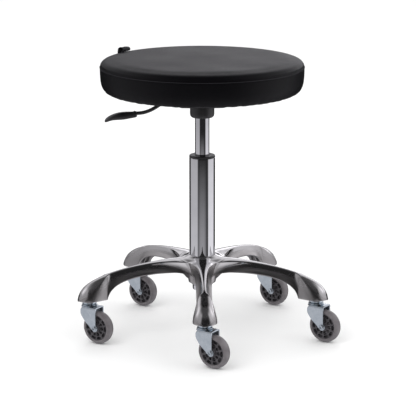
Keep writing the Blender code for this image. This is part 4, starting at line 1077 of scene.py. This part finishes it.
def ease_folds(obj):
    """Slow unevenness of stretched vinyl over foam, and the small gathers where it turns under."""
    mesh = obj.data
    co = np.empty(len(mesh.vertices) * 3, np.float32)
    mesh.vertices.foreach_get("co", co)
    co = co.reshape(-1, 3).astype(float)
    p = (co - AXIS) / MM
    a, r, z = np.arctan2(p[:, 1], p[:, 0]), np.hypot(p[:, 0], p[:, 1]), p[:, 2]
    under = smoothstep(-z, -SEAT_LOW - 20, -SEAT_LOW - 5) * smoothstep(r, SEAT_R - 44, SEAT_R - 24)
    wave = np.sin(61 * a + 1.3 * np.sin(7 * a)) * 0.6 + np.sin(37 * a + 2 * np.sin(5 * a + 1)) * 0.5
    inwards = np.stack([-np.cos(a), -np.sin(a), 0 * a], -1)
    co += (under * (wave + 1.1) * 0.45 * MM)[:, None] * (inwards + np.array([0, 0, 0.7]))
    top = smoothstep(z, SEAT_TOP - 4, SEAT_TOP - 1) * smoothstep(SEAT_R - r, 6, 40)
    roll = np.sin(p[:, 0] / 41 + 1.2) * np.sin(p[:, 1] / 33 + 0.4) + 0.6 * np.sin((p[:, 0] + p[:, 1]) / 23)
    co[:, 2] += top * roll * 0.35 * MM
    mesh.vertices.foreach_set("co", co.astype(np.float32).ravel())
    mesh.update()


def stitches():
    """A row of thread loops under the seam: each a short round bead, sunk at both ends, set at even
    angles by one outer product of angles and bead points."""
    count, long, drop = 264, 3.1, 3.6
    t = np.linspace(-1, 1, 7)
    ring = np.linspace(0, TAU, 7)
    thick = 0.5 * np.sqrt(np.clip(1 - t**6, 0, 1))
    x = (0.42 * (1 - t**4) - 0.15)[:, None] + thick[:, None] * np.cos(ring)
    y = np.broadcast_to((t * long / 2)[:, None], x.shape)
    z = thick[:, None] * np.sin(ring)
    radius = PAD_R - 0.35
    angle = TAU * np.arange(count) / count
    c, s = np.cos(angle)[:, None, None], np.sin(angle)[:, None, None]
    px = (radius + x)[None] * c - y[None] * s
    py = (radius + x)[None] * s + y[None] * c
    pz = np.broadcast_to(z[None] + SEAM_Z - drop, px.shape)
    piece("seam_stitches", list(np.stack([px, py, pz], -1)), THREAD, "seat", "black_vinyl", sharp=80)


def lining():
    """The cloth that closes the underside, a flat disc that dips a little between its staples."""
    low, high = extent("dust_cover")
    radius = high[0] - 0.2
    r = np.concatenate([np.linspace(0, radius - 12, 30), np.linspace(radius - 12, radius, 8)[1:]])
    grid = turned(np.stack([r, np.full_like(r, high[2])], -1), 96)
    a, rr = np.arctan2(grid[..., 1], grid[..., 0]), np.hypot(grid[..., 0], grid[..., 1])
    edge = smoothstep(rr, radius - 22, radius - 3)
    grid[..., 2] -= 0.10 + 0.14 * edge * (1 + np.sin(24 * a)) / 2
    cloth = piece("underside_cloth", [grid], CLOTH, "seat", "black_cloth", "dust_cover", wall=0.45, sharp=60)
    width = 2 * radius * MM
    math.pi * (radius * MM) ** 2
    count = 24
    angle = TAU * (np.arange(count) + 0.25) / count
    t = np.linspace(-5, 5, 9)
    path = np.stack([0 * t, t, -0.55 + 0.4 * np.abs(t / 5) ** 8], -1)
    staple = swept(path, 0.32, 0.32, 8, side=(1, 0, 0))
    inset = radius - 6
    spots = [(inset * math.cos(v), inset * math.sin(v), low[2] + 0.05) for v in angle]
    staples = [placed(staple, spot, v) for spot, v in zip(spots, angle)]
    piece("lining_staples", staples, STEEL, "seat", "steel", sharp=60)


def tab():
    """A short loop of webbing sewn into the seam: a strip along a folded line, twisted a little."""
    heading = math.radians(143)
    r, z = SEAT_R, SEAT_TOP
    line = along_line([(r + 0.8, z - 11), (r + 1.6, z - 4), (r + 0.9, z + 2), (r - 2.2, z + 4.8),
                       (r - 6, z + 5.7), (r - 9.6, z + 5.0), (r - 11.8, z + 2.6), (r - 11.4, z + 0.2),
                       (r - 8, z - 1.2)], 40)
    v = np.linspace(0, 1, 40)
    across = np.linspace(-1, 1, 15)[None]
    bulge = np.sin(v * math.pi)[:, None]
    x = line[:, :1] + 0.35 * np.cos(across * 3 + 4 * v[:, None])
    y = across * (11.6 - 1.2 * bulge)
    zz = line[:, 1:] + (0.5 * across * bulge) + 0.25 * np.sin(across * 4 + 5 * v[:, None])
    grid = placed(np.stack(np.broadcast_arrays(x, y, zz), -1), heading=heading)
    loop = piece("seam_tab", [grid], TAPE, "seat", "black_cloth", "seat_tab", sharp=60, wall=1.1,
                 recalculate=False)
    mesh = loop.data
    co = np.empty(len(mesh.vertices) * 3, np.float32)
    mesh.vertices.foreach_get("co", co)
    p = (co.reshape(-1, 3) - AXIS) / MM
    u = -p[:, 0] * math.sin(heading) + p[:, 1] * math.cos(heading)
    out = p[:, 0] * math.cos(heading) + p[:, 1] * math.sin(heading)
    coordinates = np.stack([u / 12, (p[:, 2] - z) / 12 - (out - r) / 12], -1)
    index = np.empty(len(mesh.loops), np.int32)
    mesh.loops.foreach_get("vertex_index", index)
    mesh.uv_layers.new(name="tape").uv.foreach_set("vector", coordinates[index].astype(np.float32).ravel())


# ---------------------------------------------------------------- studio
CAMERA_PLACE, CAMERA_AIM = np.array([-0.0779, -3.5408, 1.0885]), np.array([0, 0, 0.2465])
SENSOR, LENS, SHIFT = 36.0, 162.18, 0.014


def pale_floor(w):
    return {"Base_Color": w.noise(3, 2).between((0.90, 0.90, 0.90), (0.93, 0.93, 0.93))}


def studio():
    """Floor, world, three soft lamps and the camera. What is seen or lit directly gets plain white
    from the world; only reflections see its pattern of softboxes, which is worked out from the
    direction: side and facing are its level parts to the right and towards the front, z its height."""
    scene = bpy.context.scene
    floor_mesh = bpy.data.meshes.new("floor")
    reach = 30.0
    corners = [(-reach, -reach, 0), (reach, -reach, 0), (reach, reach, 0), (-reach, reach, 0)]
    floor_mesh.from_pydata(corners, [], [(0, 1, 2, 3)])
    floor = bpy.data.objects.new("floor", floor_mesh)
    scene.collection.objects.link(floor)
    floor_mesh.materials.append(finish("pale floor", pale_floor, Roughness=0.8, Specular_IOR_Level=0.1))
    floor.visible_glossy = False

    world = bpy.data.worlds.new("studio")
    scene.world = world
    world.use_nodes = True
    tree = world.node_tree
    back = tree.nodes["Background"]
    w = Wire(tree)
    seen = w.node("LightPath", out=3)
    direction = w.node("TexCoord")
    apart = tree.nodes.new("ShaderNodeSeparateXYZ")
    tree.links.new(direction.socket, apart.inputs[0])
    x, y, z = (Wire(tree, apart.outputs[i]) for i in range(3))
    flat = (x * x + y * y) ** 0.5
    side = x / (flat + 0.0001)
    facing = 0 - y / (flat + 0.0001)
    # bright walls to the left and right, a dark gap in front and behind
    left = side.ramp(-0.60, -0.72) * facing.ramp(-0.62, -0.50)
    right = side.ramp(0.76, 0.86) * facing.ramp(-0.60, -0.46)
    walls = 0.42 * left + 0.66 * right
    low_back = facing.ramp(-0.45, -0.70) * z.ramp(0.05, 0.14) * z.ramp(0.38, 0.24)
    low_back = low_back * side.ramp(-0.16, 0.16, 0.45, 1.55)
    above = z.ramp(0.55, 0.75) * 0.06
    beneath = z.ramp(-0.42, -0.80) * 0.42
    front = facing.ramp(0.72, 0.97) * z.ramp(-0.205, -0.25) * 0.34
    crest_light = z.ramp(0.30, 0.42) * z.ramp(0.80, 0.55) * facing.ramp(0.2, -0.2)
    walls = walls * z.ramp(0.92, 0.75) * z.ramp(-0.19, -0.26, 1.0, 1.5) * z.ramp(-0.80, -0.42, 0.1, 1)
    glow = 0.022 + walls + 1.15 * low_back + above + beneath + front + 0.8 * crest_light
    tree.links.new(glow.socket, back.inputs["Strength"])
    back.inputs["Color"].default_value = (0.985, 0.975, 1.02, 1)
    plain = tree.nodes.new("ShaderNodeBackground")
    plain.inputs["Color"].default_value = (1, 1, 1, 1)
    plain.inputs["Strength"].default_value = 1.12
    pick = tree.nodes.new("ShaderNodeMixShader")
    tree.links.new(seen.socket, pick.inputs[0])
    tree.links.new(plain.outputs[0], pick.inputs[1])
    tree.links.new(back.outputs[0], pick.inputs[2])
    world.cycles.sampling_method = "NONE"
    tree.links.new(pick.outputs[0], tree.nodes["World Output"].inputs["Surface"])

    def lamp(name, place, size, power):
        light = bpy.data.lights.new(name, "AREA")
        light.shape, light.size, light.energy = "DISK", size, power
        obj = bpy.data.objects.new(name, light)
        scene.collection.objects.link(obj)
        aimed(obj, place, AXIS + np.array([0, 0, 0.3]))
        obj.visible_glossy = False

    lamp("key", (-1.6, -1.8, 2.9), 2.2, 22)
    lamp("fill", (2.2, -1.2, 2.2), 2.2, 10)
    lamp("rear", (0.4, 2.6, 2.6), 2.4, 10)

    camera = bpy.data.cameras.new("camera")
    eye = bpy.data.objects.new("camera", camera)
    scene.collection.objects.link(eye)
    aimed(eye, AXIS + CAMERA_PLACE, AXIS + CAMERA_AIM)
    camera.sensor_width, camera.lens, camera.shift_x = SENSOR, LENS, SHIFT
    camera.clip_start, camera.clip_end = 0.05, 100
    scene.camera = eye
    scene.view_settings.view_transform = "Standard"


dress_frame()
star_base()
column()
underside()
lever()
casters()
seat_cushion()
lining()
tab()
studio()
